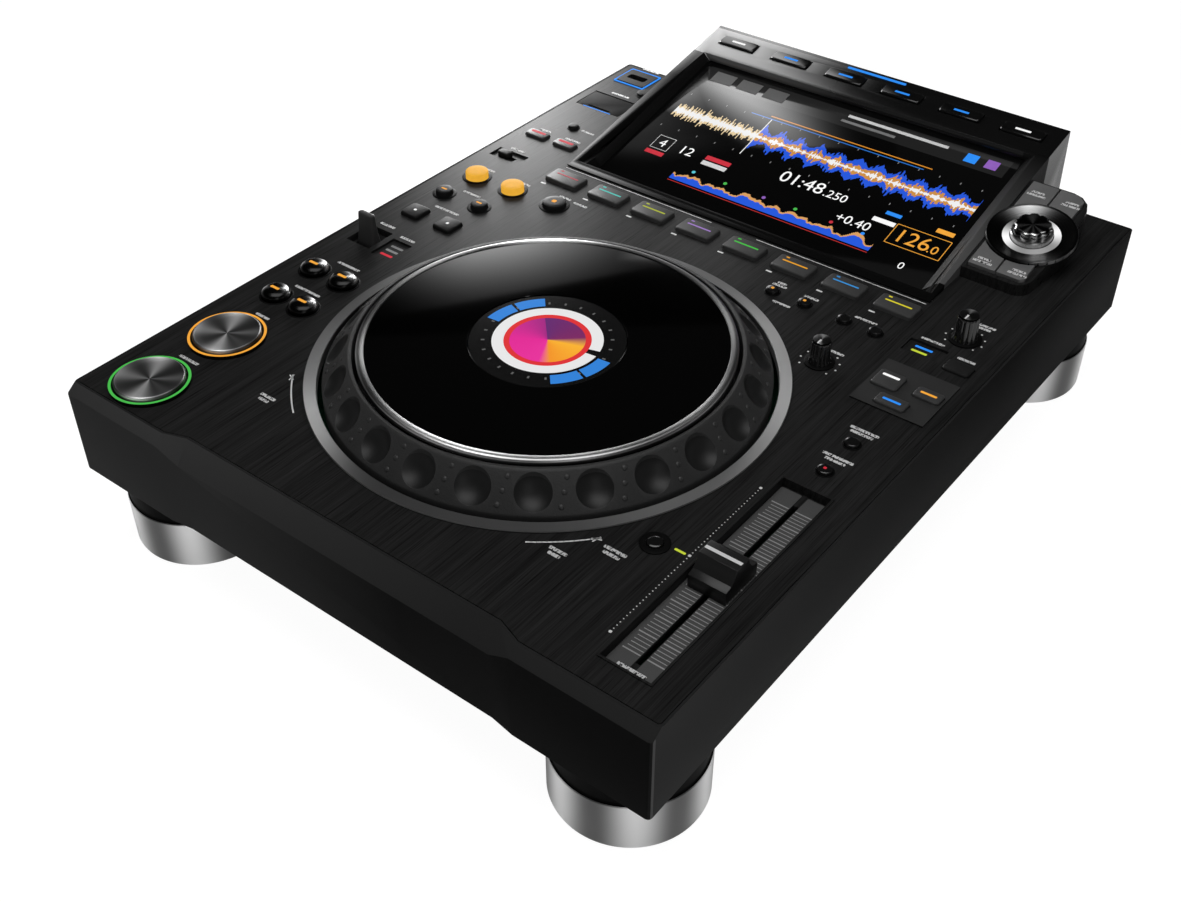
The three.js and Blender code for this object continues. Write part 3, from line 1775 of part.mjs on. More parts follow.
// Tempo fader: cap with a raised flat ridge and hollow slopes, blade through the slit, shoe under the tray
function tempoSlider() {
  const low = deckTop - faderDrop + seatGap;
  const top = deckTop + faderCap.rise;
  const half = faderCap.length / 2;
  const y = faderCentreY;
  const floorBottom = deckTop - faderDrop - faderFloor;
  const body = profileAlongX(
    [
      new THREE.Vector2(y - half, low),
      new THREE.Vector2(y + half, low),
      new THREE.Vector2(y + half, deckTop + faderCap.skirt),
      new THREE.Vector2(y + half * faderFootShare, deckTop + faderCap.foot),
      new THREE.Vector2(y + half * faderHollowShare, deckTop + faderCap.hollow),
      new THREE.Vector2(y + faderCap.ridge / 2, top),
      new THREE.Vector2(y - faderCap.ridge / 2, top),
      new THREE.Vector2(y - half * faderHollowShare, deckTop + faderCap.hollow),
      new THREE.Vector2(y - half * faderFootShare, deckTop + faderCap.foot),
      new THREE.Vector2(y - half, deckTop + faderCap.skirt),
    ],
    faderX - faderCap.width / 2,
    faderX + faderCap.width / 2,
  );
  return union(
    body,
    block(
      faderX - faderBlade / 2,
      faderX + faderBlade / 2,
      y - faderShoeHalf,
      y + faderShoeHalf,
      floorBottom - seatGap - faderShoe,
      low + overrun,
    ),
    block(
      faderX - faderShoe,
      faderX + faderShoe,
      y - faderShoeHalf,
      y + faderShoeHalf,
      floorBottom - seatGap - faderShoe,
      floorBottom - seatGap,
    ),
  );
}

// Finishes
const finish = (color, roughness, metalness = 0) => ({ color, roughness, metalness });
const blackPlastic = finish(0x161617, 0.45);
const brushedBlack = finish(0x1d1d1f, 0.35, 0.6);
const keyBlack = finish(0x0f0f10, 0.4);
const gloss = finish(0x050506, 0.08);
const brightMetal = finish(0xb9bbbe, 0.3, 1);
const darkMetal = finish(0x4b4c50, 0.3, 0.9);
const boardGreen = finish(0x17452b, 0.6);
const amber = finish(0xe08a1c, 0.4);
const smoke = finish(0x3a3a3d, 0.5);

// Group that holds the whole player; the body's underside sits one foot height up
const player = new THREE.Group();
const body = new THREE.Group();
body.position.set(0, -rearOverhang / 2, footHeight);
player.add(body);

function add(name, solid, look) {
  const mesh = solid.getMesh();
  const geometry = new THREE.BufferGeometry();
  const positions = new Float32Array(mesh.numVert * 3);
  for (let i = 0; i < mesh.numVert; i += 1) {
    const start = i * mesh.numProp;
    positions.set(mesh.vertProperties.subarray(start, start + 3), i * 3);
  }
  geometry.setAttribute("position", new THREE.BufferAttribute(positions, 3));
  geometry.setIndex(new THREE.BufferAttribute(new Uint32Array(mesh.triVerts), 1));
  geometry.computeVertexNormals();
  const piece = new THREE.Mesh(geometry, new THREE.MeshStandardMaterial(look));
  piece.material.flatShading = true;
  piece.name = name;
  body.add(piece);
}

// Casing
add("body_shell", bodyShell(), blackPlastic);
add("deck_plate", deckPlate(), brushedBlack);
add("base_chassis", baseChassis(), smoke);
add("circuit_board", circuitBoard(), boardGreen);
add("display_housing", displayHousing(), blackPlastic);
add("display_glass", displayGlass(), gloss);
add("foot_front_left", foot(-footX, footFrontY), brightMetal);
add("foot_front_right", foot(footX, footFrontY), brightMetal);
add("foot_rear_left", foot(-footX, footRearY), brightMetal);
add("foot_rear_right", foot(footX, footRearY), brightMetal);

// Jog wheel
add("jog_trim_ring", trimRing(), brightMetal);
add("jog_bearing", jogBearing(), darkMetal);
add("jog_grip_ring", gripRing(), blackPlastic);
add("jog_top_plate", topPlate(), gloss);
add("jog_display", jogDial(), gloss);

// Transport keys
add("play_pause_button", dishedKey(playKey), darkMetal);
add("cue_button", dishedKey(cueKey), darkMetal);
add("search_keys", domedTwin(searchKeys), darkMetal);
add("track_search_keys", domedTwin(trackKeys), darkMetal);
add("direction_lever", directionLever(), keyBlack);
add("beat_jump_keys", twinKey(leftOf(jumpKeys), rightOf(jumpKeys)), keyBlack);
add("beat_loop_keys", twinKey(leftOf(loopKeys), rightOf(loopKeys)), keyBlack);
add("loop_in_button", pushKey(loopInKey), amber);
add("loop_out_button", pushKey(loopOutKey), amber);
add("reloop_button", pushKey(reloopKey), keyBlack);

// Left rear corner
add("lock_switch", lockSwitch(), keyBlack);
add("slip_button", pushKey(slipKey), smoke);
add("quantize_button", pushKey(quantizeKey), smoke);
add("time_mode_button", pushKey(timeKey), keyBlack);
add("sd_card_door", cardFlap(), blackPlastic);
add("usb_stop_button", pushKey(stopKey), keyBlack);

// Hot cue row and the keys under it
hotCuePlaces().forEach((place, k) => add("hot_cue_" + (k + 1), pushKey(place), smoke));
add("call_keys", twinKey(leftOf(callKeys), rightOf(callKeys)), keyBlack);
add("memory_keys", twinKey(leftOf(memoryKeys), rightOf(memoryKeys)), keyBlack);

// Right side
add("release_knob", ribbedKnob(releaseKnob), darkMetal);
add("jog_adjust_knob", ribbedKnob(adjustKnob), darkMetal);
add("jog_mode_button", pushKey(jogModeKey), keyBlack);
add("beat_sync_button", pushKey(syncKey), smoke);
add("master_button", pushKey(masterKey), smoke);
add("key_sync_button", pushKey(keySyncKey), smoke);
add("tempo_keys", twinKey(frontOf(tempoKeys), rearOf(tempoKeys)), keyBlack);
add("tempo_reset_button", pushKey(resetKey), keyBlack);
add("tempo_slider", tempoSlider(), keyBlack);

// Browse corner
add("rotary_selector", rotarySelector(), darkMetal);
add("browse_upper_keys", browseKeys(dishRadius / 2, browseRear - keyGap), smoke);
add("browse_lower_keys", browseKeys(browseFront + keyGap, -dishRadius / 2), smoke);
menuKeyPlaces().forEach((x, k) => add("menu_button_" + (k + 1), menuKey(x), keyBlack));

// Rear panel
add("power_switch", powerRocker(), keyBlack);

export default player;
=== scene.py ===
# %% [markdown]
# # A tabletop media player, dressed over its CAD frame
# The frame holds every solid part at its true place and size. This script gives those parts
# their finish, swaps the faceted round parts for smooth ones, and adds the lights, prints and
# display that only the eye needs. Lengths are written in millimetres and turned into metres.

# %% Load the frame
import math

import bpy
import bmesh
from mathutils import Euler, Matrix, Vector


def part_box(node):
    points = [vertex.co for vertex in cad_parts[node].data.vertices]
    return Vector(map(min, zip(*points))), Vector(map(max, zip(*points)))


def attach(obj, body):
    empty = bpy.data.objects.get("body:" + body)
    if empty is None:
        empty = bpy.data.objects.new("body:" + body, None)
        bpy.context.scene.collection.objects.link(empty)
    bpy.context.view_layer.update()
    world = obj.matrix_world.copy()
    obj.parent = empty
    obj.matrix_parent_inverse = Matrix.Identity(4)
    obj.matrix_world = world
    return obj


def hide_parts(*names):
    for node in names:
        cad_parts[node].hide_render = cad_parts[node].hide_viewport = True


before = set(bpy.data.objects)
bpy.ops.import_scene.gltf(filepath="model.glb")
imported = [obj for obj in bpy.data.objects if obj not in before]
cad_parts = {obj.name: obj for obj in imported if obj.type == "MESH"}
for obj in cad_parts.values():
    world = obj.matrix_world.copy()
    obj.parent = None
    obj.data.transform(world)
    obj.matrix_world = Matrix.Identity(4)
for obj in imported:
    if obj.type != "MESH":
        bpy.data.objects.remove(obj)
bpy.ops.object.select_all(action="DESELECT")
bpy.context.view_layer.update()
scene = bpy.context.scene
MM = 0.001
print("nodes in the frame:", len(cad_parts))

# %% [markdown]
# ## Where things are
# The deck's flat top is the reference plane of nearly every control. `at` turns a place on the
# deck into a point of the frame, so a part can be set down by the numbers of a plan drawing.

# %% Places on the deck
DECK_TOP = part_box("body_shell")[1].z / MM
SHELL_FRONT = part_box("body_shell")[0].y / MM
DECK_SHIFT = (SHELL_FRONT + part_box("body_shell")[1].y / MM) / 2
JOG = (0, -69)


def at(x, y, up=0.0):
    """A point `up` millimetres above the deck."""
    return Vector((x, y + DECK_SHIFT, DECK_TOP + up)) * MM


print("deck top", round(DECK_TOP, 2), "shift", round(DECK_SHIFT, 2))

# %% [markdown]
# ## Camera
# The picture was taken from above the front right corner with a normal lens. The three
# directions below are the picture's right, down and depth, found by matching the deck's
# corners. A camera looks along its own -Z with +Y up, so down and depth change sign.

# %% Camera
IMAGE_WIDTH = 1182
FOCAL_PIXELS = 1453.476
camera_place = Vector((347.365, -493.977, 482.3)) * MM
view_right = Vector((0.788672, 0.614810, -0.002258))
view_down = Vector((0.389965, -0.503076, -0.771260))
view_depth = Vector((-0.475314, 0.607391, -0.636516))
camera_data = bpy.data.cameras.new("camera")
camera_data.sensor_width = 36
camera_data.lens = 36 * FOCAL_PIXELS / IMAGE_WIDTH
camera_data.clip_start, camera_data.clip_end = 0.02, 40
camera = bpy.data.objects.new("camera", camera_data)
scene.collection.objects.link(camera)
turn = Matrix((view_right, -view_down, -view_depth)).transposed().to_4x4()
camera.matrix_world = Matrix.Translation(camera_place) @ turn
scene.camera = camera
scene.view_settings.view_transform = "Standard"
print("lens", round(camera_data.lens, 2), "mm")

# %% [markdown]
# ## Writing a finish as arithmetic
# A procedural finish is a graph of nodes. Wiring it by hand hides the idea, so a small class
# wraps one socket and lets it be added, scaled and compared like a number. Each operation adds
# one Math node. Every other node comes from `node`, which sets its options first and then
# its sockets.


# %% Sockets and finishes
class Socket:
    """One output of a node; arithmetic on it adds Math nodes."""

    def __init__(self, finish, port):
        self.finish, self.port = finish, port

    def math(self, operation, *values):
        return self.finish.node("ShaderNodeMath", {"operation": operation}, dict(enumerate(values)))

    def __add__(self, other):
        return self.math("ADD", self, other)

    def __radd__(self, other):
        return self.math("ADD", other, self)

    def __sub__(self, other):
        return self.math("SUBTRACT", self, other)

    def __rsub__(self, other):
        return self.math("SUBTRACT", other, self)

    def __mul__(self, other):
        return self.math("MULTIPLY", self, other)

    def __rmul__(self, other):
        return self.math("MULTIPLY", other, self)

    def __truediv__(self, other):
        return self.math("DIVIDE", self, other)

    def __pow__(self, other):
        return self.math("POWER", self, other)

    def __rpow__(self, other):
        return self.math("POWER", other, self)

    def __mod__(self, other):
        return self.math("FLOORED_MODULO", self, other)

    def __gt__(self, other):
        return self.math("GREATER_THAN", self, other)

    def __lt__(self, other):
        return self.math("LESS_THAN", self, other)

    def __abs__(self):
        return self.math("ABSOLUTE", self)

    def __or__(self, other):
        return self.math("MAXIMUM", self, other)

    def __and__(self, other):
        return self.math("MINIMUM", self, other)

    def floor(self):
        return self.math("FLOOR", self)

    def cosine(self):
        return self.math("COSINE", self)


DEGREES = 180 / math.pi
FINISHES = {}


def grey(value):
    return (value, value, value, 1)


def scaled(colour, share):
    """A colour made darker or lighter, still opaque."""
    return (*(c * share for c in colour[:3]), 1)


def between(value, low, high):
    return (value > low) * (value < high)


def clamp(value, low=0.0, high=1.0):
    return value & high | low


def distance(x, y):
    return (x * x + y * y) ** 0.5


def around(x, y):
    """The angle around the origin, in radians."""
    return x.math("ARCTAN2", y, x)


class Finish:
    """A material being written: its node tree and its main shader. FINISHES keeps it by name."""

    def __init__(self, name, fixed):
        self.material = bpy.data.materials.new(name)
        self.material.use_nodes = True
        self.tree = self.material.node_tree
        self.shader = self.tree.nodes["Principled BSDF"]
        self.feed(fixed)
        FINISHES[name] = self

    def join(self, port, value):
        if isinstance(value, Socket):
            self.tree.links.new(value.port, port)
        else:
            port.default_value = value

    def feed(self, sockets):
        for name, value in sockets.items():
            self.join(self.shader.inputs[name], value)
        return self

    def node(self, kind, settings, sockets, output=0):
        made = self.tree.nodes.new(kind)
        for name, value in settings.items():
            if name == "stops":
                self.set_stops(made.color_ramp.elements, value)
            else:
                setattr(made, name, value)
        for name, value in sockets.items():
            self.join(made.inputs[name], value)
        return Socket(self, made.outputs[output])

    def set_stops(self, elements, stops):
        while len(elements) < len(stops):
            elements.new(1)
        for element, (position, colour) in zip(elements, stops):
            element.position, element.color = position, colour

    def where(self, centre=(0, 0, 0), turned=(0, 0, 0)):
        """Object coordinates in millimetres, measured from a centre in a turned frame."""
        spot = self.node("ShaderNodeTexCoord", {}, {}, "Object")
        settings = {"vector_type": "TEXTURE"}
        sockets = {"Vector": spot, "Location": centre, "Rotation": turned, "Scale": (MM, MM, MM)}
        return self.node("ShaderNodeMapping", settings, sockets)

    def split(self, vector):
        """The three numbers of a vector."""
        parts = self.node("ShaderNodeSeparateXYZ", {}, {0: vector}).port.node
        return [Socket(self, port) for port in parts.outputs]

    def stretch(self, vector, factors):
        settings = {"operation": "MULTIPLY"}
        return self.node("ShaderNodeVectorMath", settings, {0: vector, 1: factors})

    def noise(self, vector, scale, detail=2.0):
        sockets = {"Vector": vector, "Scale": scale, "Detail": detail}
        return self.node("ShaderNodeTexNoise", {}, sockets)

    def noise_at(self, place, scale, detail=2.0):
        """Noise read at three numbers, each of which may be a socket."""
        vector = self.node("ShaderNodeCombineXYZ", {}, dict(enumerate(place)))
        return self.noise(vector, scale, detail)

    def blend(self, factor, first, second):
        settings = {"data_type": "RGBA"}
        return self.node("ShaderNodeMix", settings, {0: factor, 6: first, 7: second}, 2)

    def wedges(self, centre, tilt, base, lobes):
        """A tone that swells at given angles around a centre: (degrees, reach, amount)."""
        x, y, _ = self.split(self.where(centre, (tilt, 0, 0)))
        angle = around(x, y) * DEGREES
        tone = base
        for middle, reach, amount in lobes:
            off = ((angle - middle + 180) % 360.0 - 180) / reach
            tone = math.e ** (off * off * -1) * amount + tone
        return tone

    def bump(self, height, depth):
        sockets = {"Height": height, "Distance": depth * MM, "Strength": 1.0}
        return self.node("ShaderNodeBump", {}, sockets)


print("node helpers ready")

# %% [markdown]
# ## Finishes of the casing
# The deck is black anodised metal with a hairline brushed front to rear: long thin noise makes
# the lines. The sides are satin moulded plastic with a fine grain. Both are dark, so what
# shows is how they scatter the light, and the noise works mostly on the roughness.


# %% Casing finishes
def moulded(name, colour, roughness, grain=0.02, specular=0.35):
    """Moulded plastic: a fine spark-eroded grain, with slight clouds in the gloss."""
    made = Finish(name, {"Specular IOR Level": specular})
    spot = made.where()
    fine = made.noise(spot, 2.2, 3)
    clouds = made.noise(spot, 0.03)
    return made.feed({
        "Base Color": made.blend(fine, scaled(colour, 0.85), scaled(colour, 1.15)),
        "Roughness": clouds * 0.12 + (roughness - 0.06),
        "Normal": made.bump(fine, grain),
    })


def brushed(name, dark, light, roughness, along, metallic=1.0, depth=0.006, specular=0.5):
    """A brushed face whose hairlines run along the axis with the small factor."""
    made = Finish(name, {"Metallic": metallic, "Specular IOR Level": specular})
    lines = made.noise(made.stretch(made.where(), along), 1.0, 3)
    streaks = made.noise(made.stretch(made.where(), tuple(a * 0.24 for a in along)), 1.0, 2)
    mixed = (lines * 0.6 + streaks * 0.4 - 0.3) * 2.2
    return made.feed({
        "Base Color": made.blend(mixed, dark, light),
        "Roughness": lines * 0.16 + (roughness - 0.08),
        "Normal": made.bump(lines, depth),
    })


def plastic_with_painted_shade(name, dark, light, way, line=None):
    """Moulded plastic with painted shade that grows lighter along a way, and a painted highlight
    line on one edge.
    """
    made = Finish(name, {"Specular IOR Level": 0.006, "Roughness": 0.5})
    spot = made.where()
    x, y, _ = made.split(spot)
    fine = made.noise(spot, 2.2, 3)
    share = clamp(x * way[0] + y * way[1] + way[2])
    tone = made.blend(share * (fine * 0.3 + 0.85), grey(dark), grey(light))
    # The lighter line is a painted highlight along the edge.
    if line:
        tone = made.blend(y < line, tone, grey(0.13))
    return made.feed({"Base Color": tone, "Normal": made.bump(fine, 0.02)})


moulded("shell_satin", grey(0.02), 0.5, 0.02, 0.006)
# Painted shade: the chamfer, the front and the right side of the shell grow lighter or darker by
# place where the light fell unevenly, and the right side carries a painted highlight line along its
# front corner.
plastic_with_painted_shade("shell_edge", 0.026, 0.05, (-1 / 160, 0, 0.45))
plastic_with_painted_shade("shell_front", 0.01, 0.05, (-1 / 110, 0, 0.36))
plastic_with_painted_shade("shell_side", 0.005, 0.055, (0, -1 / 260, 0.2), SHELL_FRONT + 2.2)
moulded("chassis_paint", grey(0.03), 0.55, 0.05)
moulded("board_varnish", (0.01, 0.06, 0.03, 1), 0.4)
brushed(
    "deck_hairline", grey(0.006), grey(0.028), 0.3, (2.4, 0.04, 0.5),
    metallic=0.0, depth=0.012, specular=0.035,
)
print("casing finishes made")

# %% [markdown]
# The display housing is lacquered, and its lacquer was dull in some places of the picture. Masks by
# place lower the coat beside the glass, paint a grey sheen on the band right of the glass, and give
# the rear left end a painted gleam: a lighter, metallic tone.

# %% Housing finish
housing = moulded("housing_gloss", grey(0.004), 0.5, 0.004, 0.0)
x, y, _ = housing.split(housing.where())
WELL_LEFT, WELL_RIGHT, WELL_REAR = -106.0, 99.6, 200
LIP_FRONT, LIP_REAR = 88.0, 90.0
STRIP_FRONT, STRIP_REAR = 196.0, 221.5
side_strip = (x < WELL_LEFT) * clamp((WELL_REAR - y) / 30) | (y < LIP_REAR)
right_band = (x > WELL_RIGHT) * clamp((WELL_REAR - y) / 90) * (y > LIP_FRONT)
rear_left = between(y, STRIP_FRONT, STRIP_REAR) * clamp((-10 - x) / 90)
# Painted light: the band right of the glass gets a painted grey sheen, and the rear left end a
# painted gleam, a lighter and metallic tone.
housing_tone = housing.blend(right_band, grey(0.004), grey(0.085))
housing.feed({
    "Base Color": housing.blend(rear_left, housing_tone, grey(0.17)),
    "Metallic": rear_left,
    "Coat Roughness": 0.22,
    "Coat Weight": 1 - (side_strip | (right_band > 0.01)) * 0.85,
})
print("housing finish made")

# %% [markdown]
# ## Finishes of the controls
# Keys are dark plastic, some with a metallic lacquer. The transport buttons and the selector's dish
# are turned on a lathe, so their cut lines are circles: the pattern reads the distance from the
# part's own centre. A turned face also gathers light in opposite wedges, and these are painted into
# its tone as highlights by the angle around the centre.


# %% Control finishes
def spun(name, centre, base, lobes, roughness, tilt=0.0):
    """Metal turned on a lathe, with painted wedges of light at the given angles."""
    made = Finish(name, {"Metallic": 1.0})
    x, y, _ = made.split(made.where(centre, (tilt, 0, 0)))
    cuts = made.noise_at((distance(x, y), 0.0, 0.0), 6.0, 1)
    tone = made.wedges(centre, tilt, base, lobes)
    return made.feed({
        "Base Color": made.blend(tone, grey(0.0), grey(1.0)),
        "Roughness": cuts * 0.2 + (roughness - 0.1),
        "Normal": made.bump(cuts, 0.01),
    })


for name, (tone, *rest) in {  # tone, roughness, depth of the grain, specular level
    "key_matt": (0.014, 0.5, 0.02, 0.06),
    "key_side": (0.004, 0.45, 0.02, 0.03),
    "key_smoke": (0.045, 0.45, 0.02, 0.08),
    "key_pad": (0.06, 0.5),
    "key_browse": (0.13, 0.4),
    "key_jewel": (0.006, 0.14, 0.003, 0.6),
    "key_flush": (0.012, 0.45, 0.02, 0.05),
    "key_gloss": (0.004, 0.16, 0.004, 0.5),
    "fader_black": (0.012, 0.32, 0.01, 0.3),
    "tray_grey": (0.026, 0.6, 0.02, 0.1),
    "tray_floor": (0.075, 0.6, 0.02, 0.1),
    "grip_rubber": (0.03, 0.45),
    "knob_black": (0.006, 0.12, 0.004, 0.9),
    "foot_band": (0.003, 0.5, 0.02, 0.03),
    "rubber_pad": (0.02, 0.8, 0.06),
}.items():
    moulded(name, grey(tone), *rest)
brushed("knurl_metal", grey(0.3), grey(0.6), 0.3, (0.9, 0.9, 0.9), 1.0, 0.02)
brushed("screw_metal", grey(0.3), grey(0.5), 0.4, (1.0, 1.0, 1.0), 1.0, 0.004)
print("control finishes made")

# %% [markdown]
# ## Lights inside the part and printed marks
# A lit key glows evenly, dimmed a little in soft clouds, and print is a pale ink with tiny
# pinholes. Both are thin pieces on the surface, with noise in their strength.


# %% Lamps and ink
def lamp(name, tone, strength=1.0):
    """A lit window: its own colour, dimmed a little in soft clouds."""
    made = Finish(name, {
        "Roughness": 0.5, "Specular IOR Level": 0.02, "Emission Strength": strength,
        "Base Color": scaled(tone, 0.1),
    })
    cloud = made.noise(made.where(), 0.35)
    return made.feed({"Emission Color": made.blend(cloud, scaled(tone, 0.8), (*tone, 1))})


for name, tone in {
    "white": (1, 1, 1), "red": (0.6, 0.03, 0.05), "green": (0.07, 0.5, 0.08),
    "amber": (0.92, 0.4, 0.05), "blue": (0.03, 0.28, 0.95), "cyan": (0.1, 0.6, 0.7),
    "lime": (0.55, 0.65, 0.05), "purple": (0.28, 0.12, 0.5),
}.items():
    lamp("lamp_" + name, tone)
lamp("lamp_key", (0.93, 0.47, 0.045), 0.9)
for name, value in (("print_pale", 0.8), ("print_mid", 0.32), ("print_dim", 0.2)):
    made = Finish(name, {"Roughness": 0.6})
    pins = made.noise(made.where(), 4.0)
    made.feed({"Base Color": made.blend(pins, grey(value * 0.8), grey(value))})
# Print too small to read: strokes and gaps in the rhythm of a word
made = Finish("print_words", {"Roughness": 0.6, "Specular IOR Level": 0.02})
strokes = made.noise(made.stretch(made.where(), (1.5, 0.7, 0)), 1.0, 2) > 0.44
made.feed({"Base Color": made.blend(strokes, grey(0.02), grey(0.62))})
print("lamps and inks made")

# %% [markdown]
# ## Tools for making pieces
# A round part starts as a circle that is extruded up through the radii of its profile, as a
# turner would read it from a drawing. A boxy mark starts as a plane whose corners are rounded
# before it is given thickness. Each piece is settled at the end: its place goes into its
# mesh, its faces point outwards and only the sharp edges stay sharp.


# %% Piece helpers
def pick(*pieces):
    """Selects just these pieces and makes the first one active."""
    bpy.ops.object.select_all(action="DESELECT")
    for piece in pieces:
        piece.select_set(True)
    bpy.context.view_layer.objects.active = pieces[0]


def settle(piece, name, angle=35):
    """Names a piece, puts its place into its mesh and smooths its gentle edges."""
    piece.name = piece.data.name = name
    pick(piece)
    bpy.ops.object.transform_apply(location=True, rotation=True, scale=True)
    bpy.ops.object.shade_smooth_by_angle(angle=math.radians(angle))
    return piece


def stand(piece, name, place, tilt=0.0, turn=0.0, angle=35):
    """Tips a piece that was made at the origin, moves it to its place and settles it."""
    piece.rotation_euler = (tilt, 0, turn)
    piece.location = place
    return settle(piece, name, angle)


def draw_up(profile, middle):
    """Extrudes the selected circle through the rest of its radius and height pairs."""
    radius, height = profile[0]
    for next_radius, next_height in profile[1:]:
        bpy.ops.mesh.extrude_region_move(
            TRANSFORM_OT_translate={"value": (0, 0, (next_height - height) * MM)}
        )
        share = next_radius / radius
        bpy.ops.transform.resize(value=(share, share, 1), center_override=middle)
        radius, height = next_radius, next_height


def edit(selected="SELECT"):
    """Enters edit mode with everything or nothing selected."""
    bpy.ops.object.mode_set(mode="EDIT")
    bpy.ops.mesh.select_all(action=selected)


def face_out():
    """Turns all faces outwards and leaves edit mode."""
    bpy.ops.mesh.select_all(action="SELECT")
    bpy.ops.mesh.normals_make_consistent(inside=False)
    bpy.ops.object.mode_set(mode="OBJECT")


def turned(name, profile, middle, segments=96, ring=False):
    """A piece of revolution; a ring's profile is a closed loop."""
    radius, height = profile[0]
    start = Vector(middle) + Vector((0, 0, height * MM))
    fill = "NOTHING" if ring else "NGON"
    bpy.ops.mesh.primitive_circle_add(
        vertices=segments, radius=radius * MM, fill_type=fill, location=start
    )
    edit()
    draw_up(profile, start)
    if ring:
        bpy.ops.mesh.select_all(action="DESELECT")
        bpy.ops.mesh.select_non_manifold()
        bpy.ops.mesh.bridge_edge_loops()
    face_out()
    return settle(bpy.context.object, name)


def plate(name, width, depth, thickness, corner, centre, tilt=0.0, turn=0.0):
    """A thin plate with rounded corners, resting on its centre point."""
    bpy.ops.mesh.primitive_plane_add(size=1, location=(0, 0, 0))
    piece = bpy.context.object
    piece.scale = (width * MM, depth * MM, 1)
    bpy.ops.object.transform_apply(scale=True)
    edit()
    if corner:
        bpy.ops.mesh.bevel(offset=corner * MM, segments=3, affect="VERTICES")
    rise = {"value": (0, 0, thickness * MM)}
    bpy.ops.mesh.extrude_region_move(TRANSFORM_OT_translate=rise)
    face_out()
    return stand(piece, name, centre, tilt, turn)


def joined(name, pieces):
    """Several meshes made one."""
    pick(*pieces)
    if len(pieces) > 1:
        bpy.ops.object.join()
    pieces[0].name = pieces[0].data.name = name
    return pieces[0]


def coat(piece, finish):
    """Gives all faces of a piece the finish of a name."""
    piece.data.materials.clear()
    piece.data.materials.append(FINISHES[finish].material)
    for face in piece.data.polygons:
        face.material_index = 0


def dress(piece, finish, body="casing", stands_for=()):
    """Gives a piece its finish and lets it ride on a body."""
    coat(piece, finish)
    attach(piece, body)
    if stands_for:
        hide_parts(*stands_for)
    return piece


def finish_faces(piece, finish, chosen):
    """Gives a second finish to the faces whose centre and direction pass a test."""
    piece.data.materials.append(FINISHES[finish].material)
    index = len(piece.data.materials) - 1
    for face in piece.data.polygons:
        if chosen(face.center / MM, face.normal):
            face.material_index = index


def off_axis(point, middle):
    """How many millimetres a face's centre lies off an upright axis."""
    return math.hypot(point.x - middle.x / MM, point.y - middle.y / MM)


print("piece helpers ready")

# %% [markdown]
# ## Finishes on the CAD parts
# The boxy parts keep their CAD shape. Their loose triangles are welded, given a fine rounded
# edge that catches the light, and shaded smooth where they should look round.

# %% CAD parts
CAD_FINISHES = {
    "shell_satin": ["body_shell", "sd_card_door"],
    "deck_hairline": ["deck_plate"],
    "chassis_paint": ["base_chassis"],
    "board_varnish": ["circuit_board"],
    "housing_gloss": ["display_housing"],
    "screw_metal": ["jog_bearing"],
    "key_smoke": [
        "direction_lever", "slip_button", "quantize_button", "beat_sync_button",
        "master_button", "key_sync_button", *(f"hot_cue_{k}" for k in range(1, 9)),
    ],
    "key_flush": ["beat_jump_keys"],
    "key_matt": ["lock_switch", "jog_mode_button", "power_switch"],
    "fader_black": ["tempo_slider"],
    "key_browse": ["browse_upper_keys", "browse_lower_keys"],
    "key_gloss": [f"menu_button_{k}" for k in range(1, 7)],
}
ROUNDING = {"body_shell": 0.5, "display_housing": 0.6, "deck_plate": 0.0, "base_chassis": 0.0}
KEY_ROUNDING = 0.25


def soften(node, width):
    """Welds a CAD node's triangles and rounds its edges, all by live modifiers."""
    weld = node.modifiers.new("weld", "WELD")
    weld.merge_threshold = 0.01 * MM
    if width:
        bevel = node.modifiers.new("edge", "BEVEL")
        bevel.width, bevel.segments = width * MM, 2
        bevel.limit_method, bevel.angle_limit = "ANGLE", math.radians(40)
        bevel.use_clamp_overlap = True
    split = node.modifiers.new("split", "EDGE_SPLIT")
    split.split_angle = math.radians(32)
    for face in node.data.polygons:
        face.use_smooth = True

def lower_edge(c, n):
    """The bevel between the casing's front and the deck."""
    return n.y < -0.25 and n.z > 0.25 and c.z > DECK_TOP - 20


def pad_top(c, n):
    """The flat top of the raised pad that carries the sync keys."""
    inside = 119 < c.x < 158 and -4 < c.y - DECK_SHIFT < 33
    return inside and n.z > 0.9 and c.z > DECK_TOP + 0.4


for finish, names in CAD_FINISHES.items():
    for name in names:
        coat(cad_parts[name], finish)
        soften(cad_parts[name], ROUNDING.get(name, KEY_ROUNDING))
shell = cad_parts["body_shell"]
# These faces take the finishes with painted shade and the painted corner highlight.
finish_faces(shell, "shell_edge", lower_edge)
finish_faces(shell, "shell_front", lambda c, n: n.y < -0.9 and n.z < 0.25)
finish_faces(shell, "shell_side", lambda c, n: n.x > 0.9)
finish_faces(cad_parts["deck_plate"], "tray_grey", pad_top)
print("finished CAD nodes:", sum(map(len, CAD_FINISHES.values())))

# %% [markdown]
# ## Four thick feet
# Each foot is a turned metal sleeve under a black ring, with a rubber pad let into its foot.
# A polished cylinder gathers the light in upright bands, and these bands are painted into its tone
# by the angle around the foot's own axis. The same profile is turned at each of the four corners.

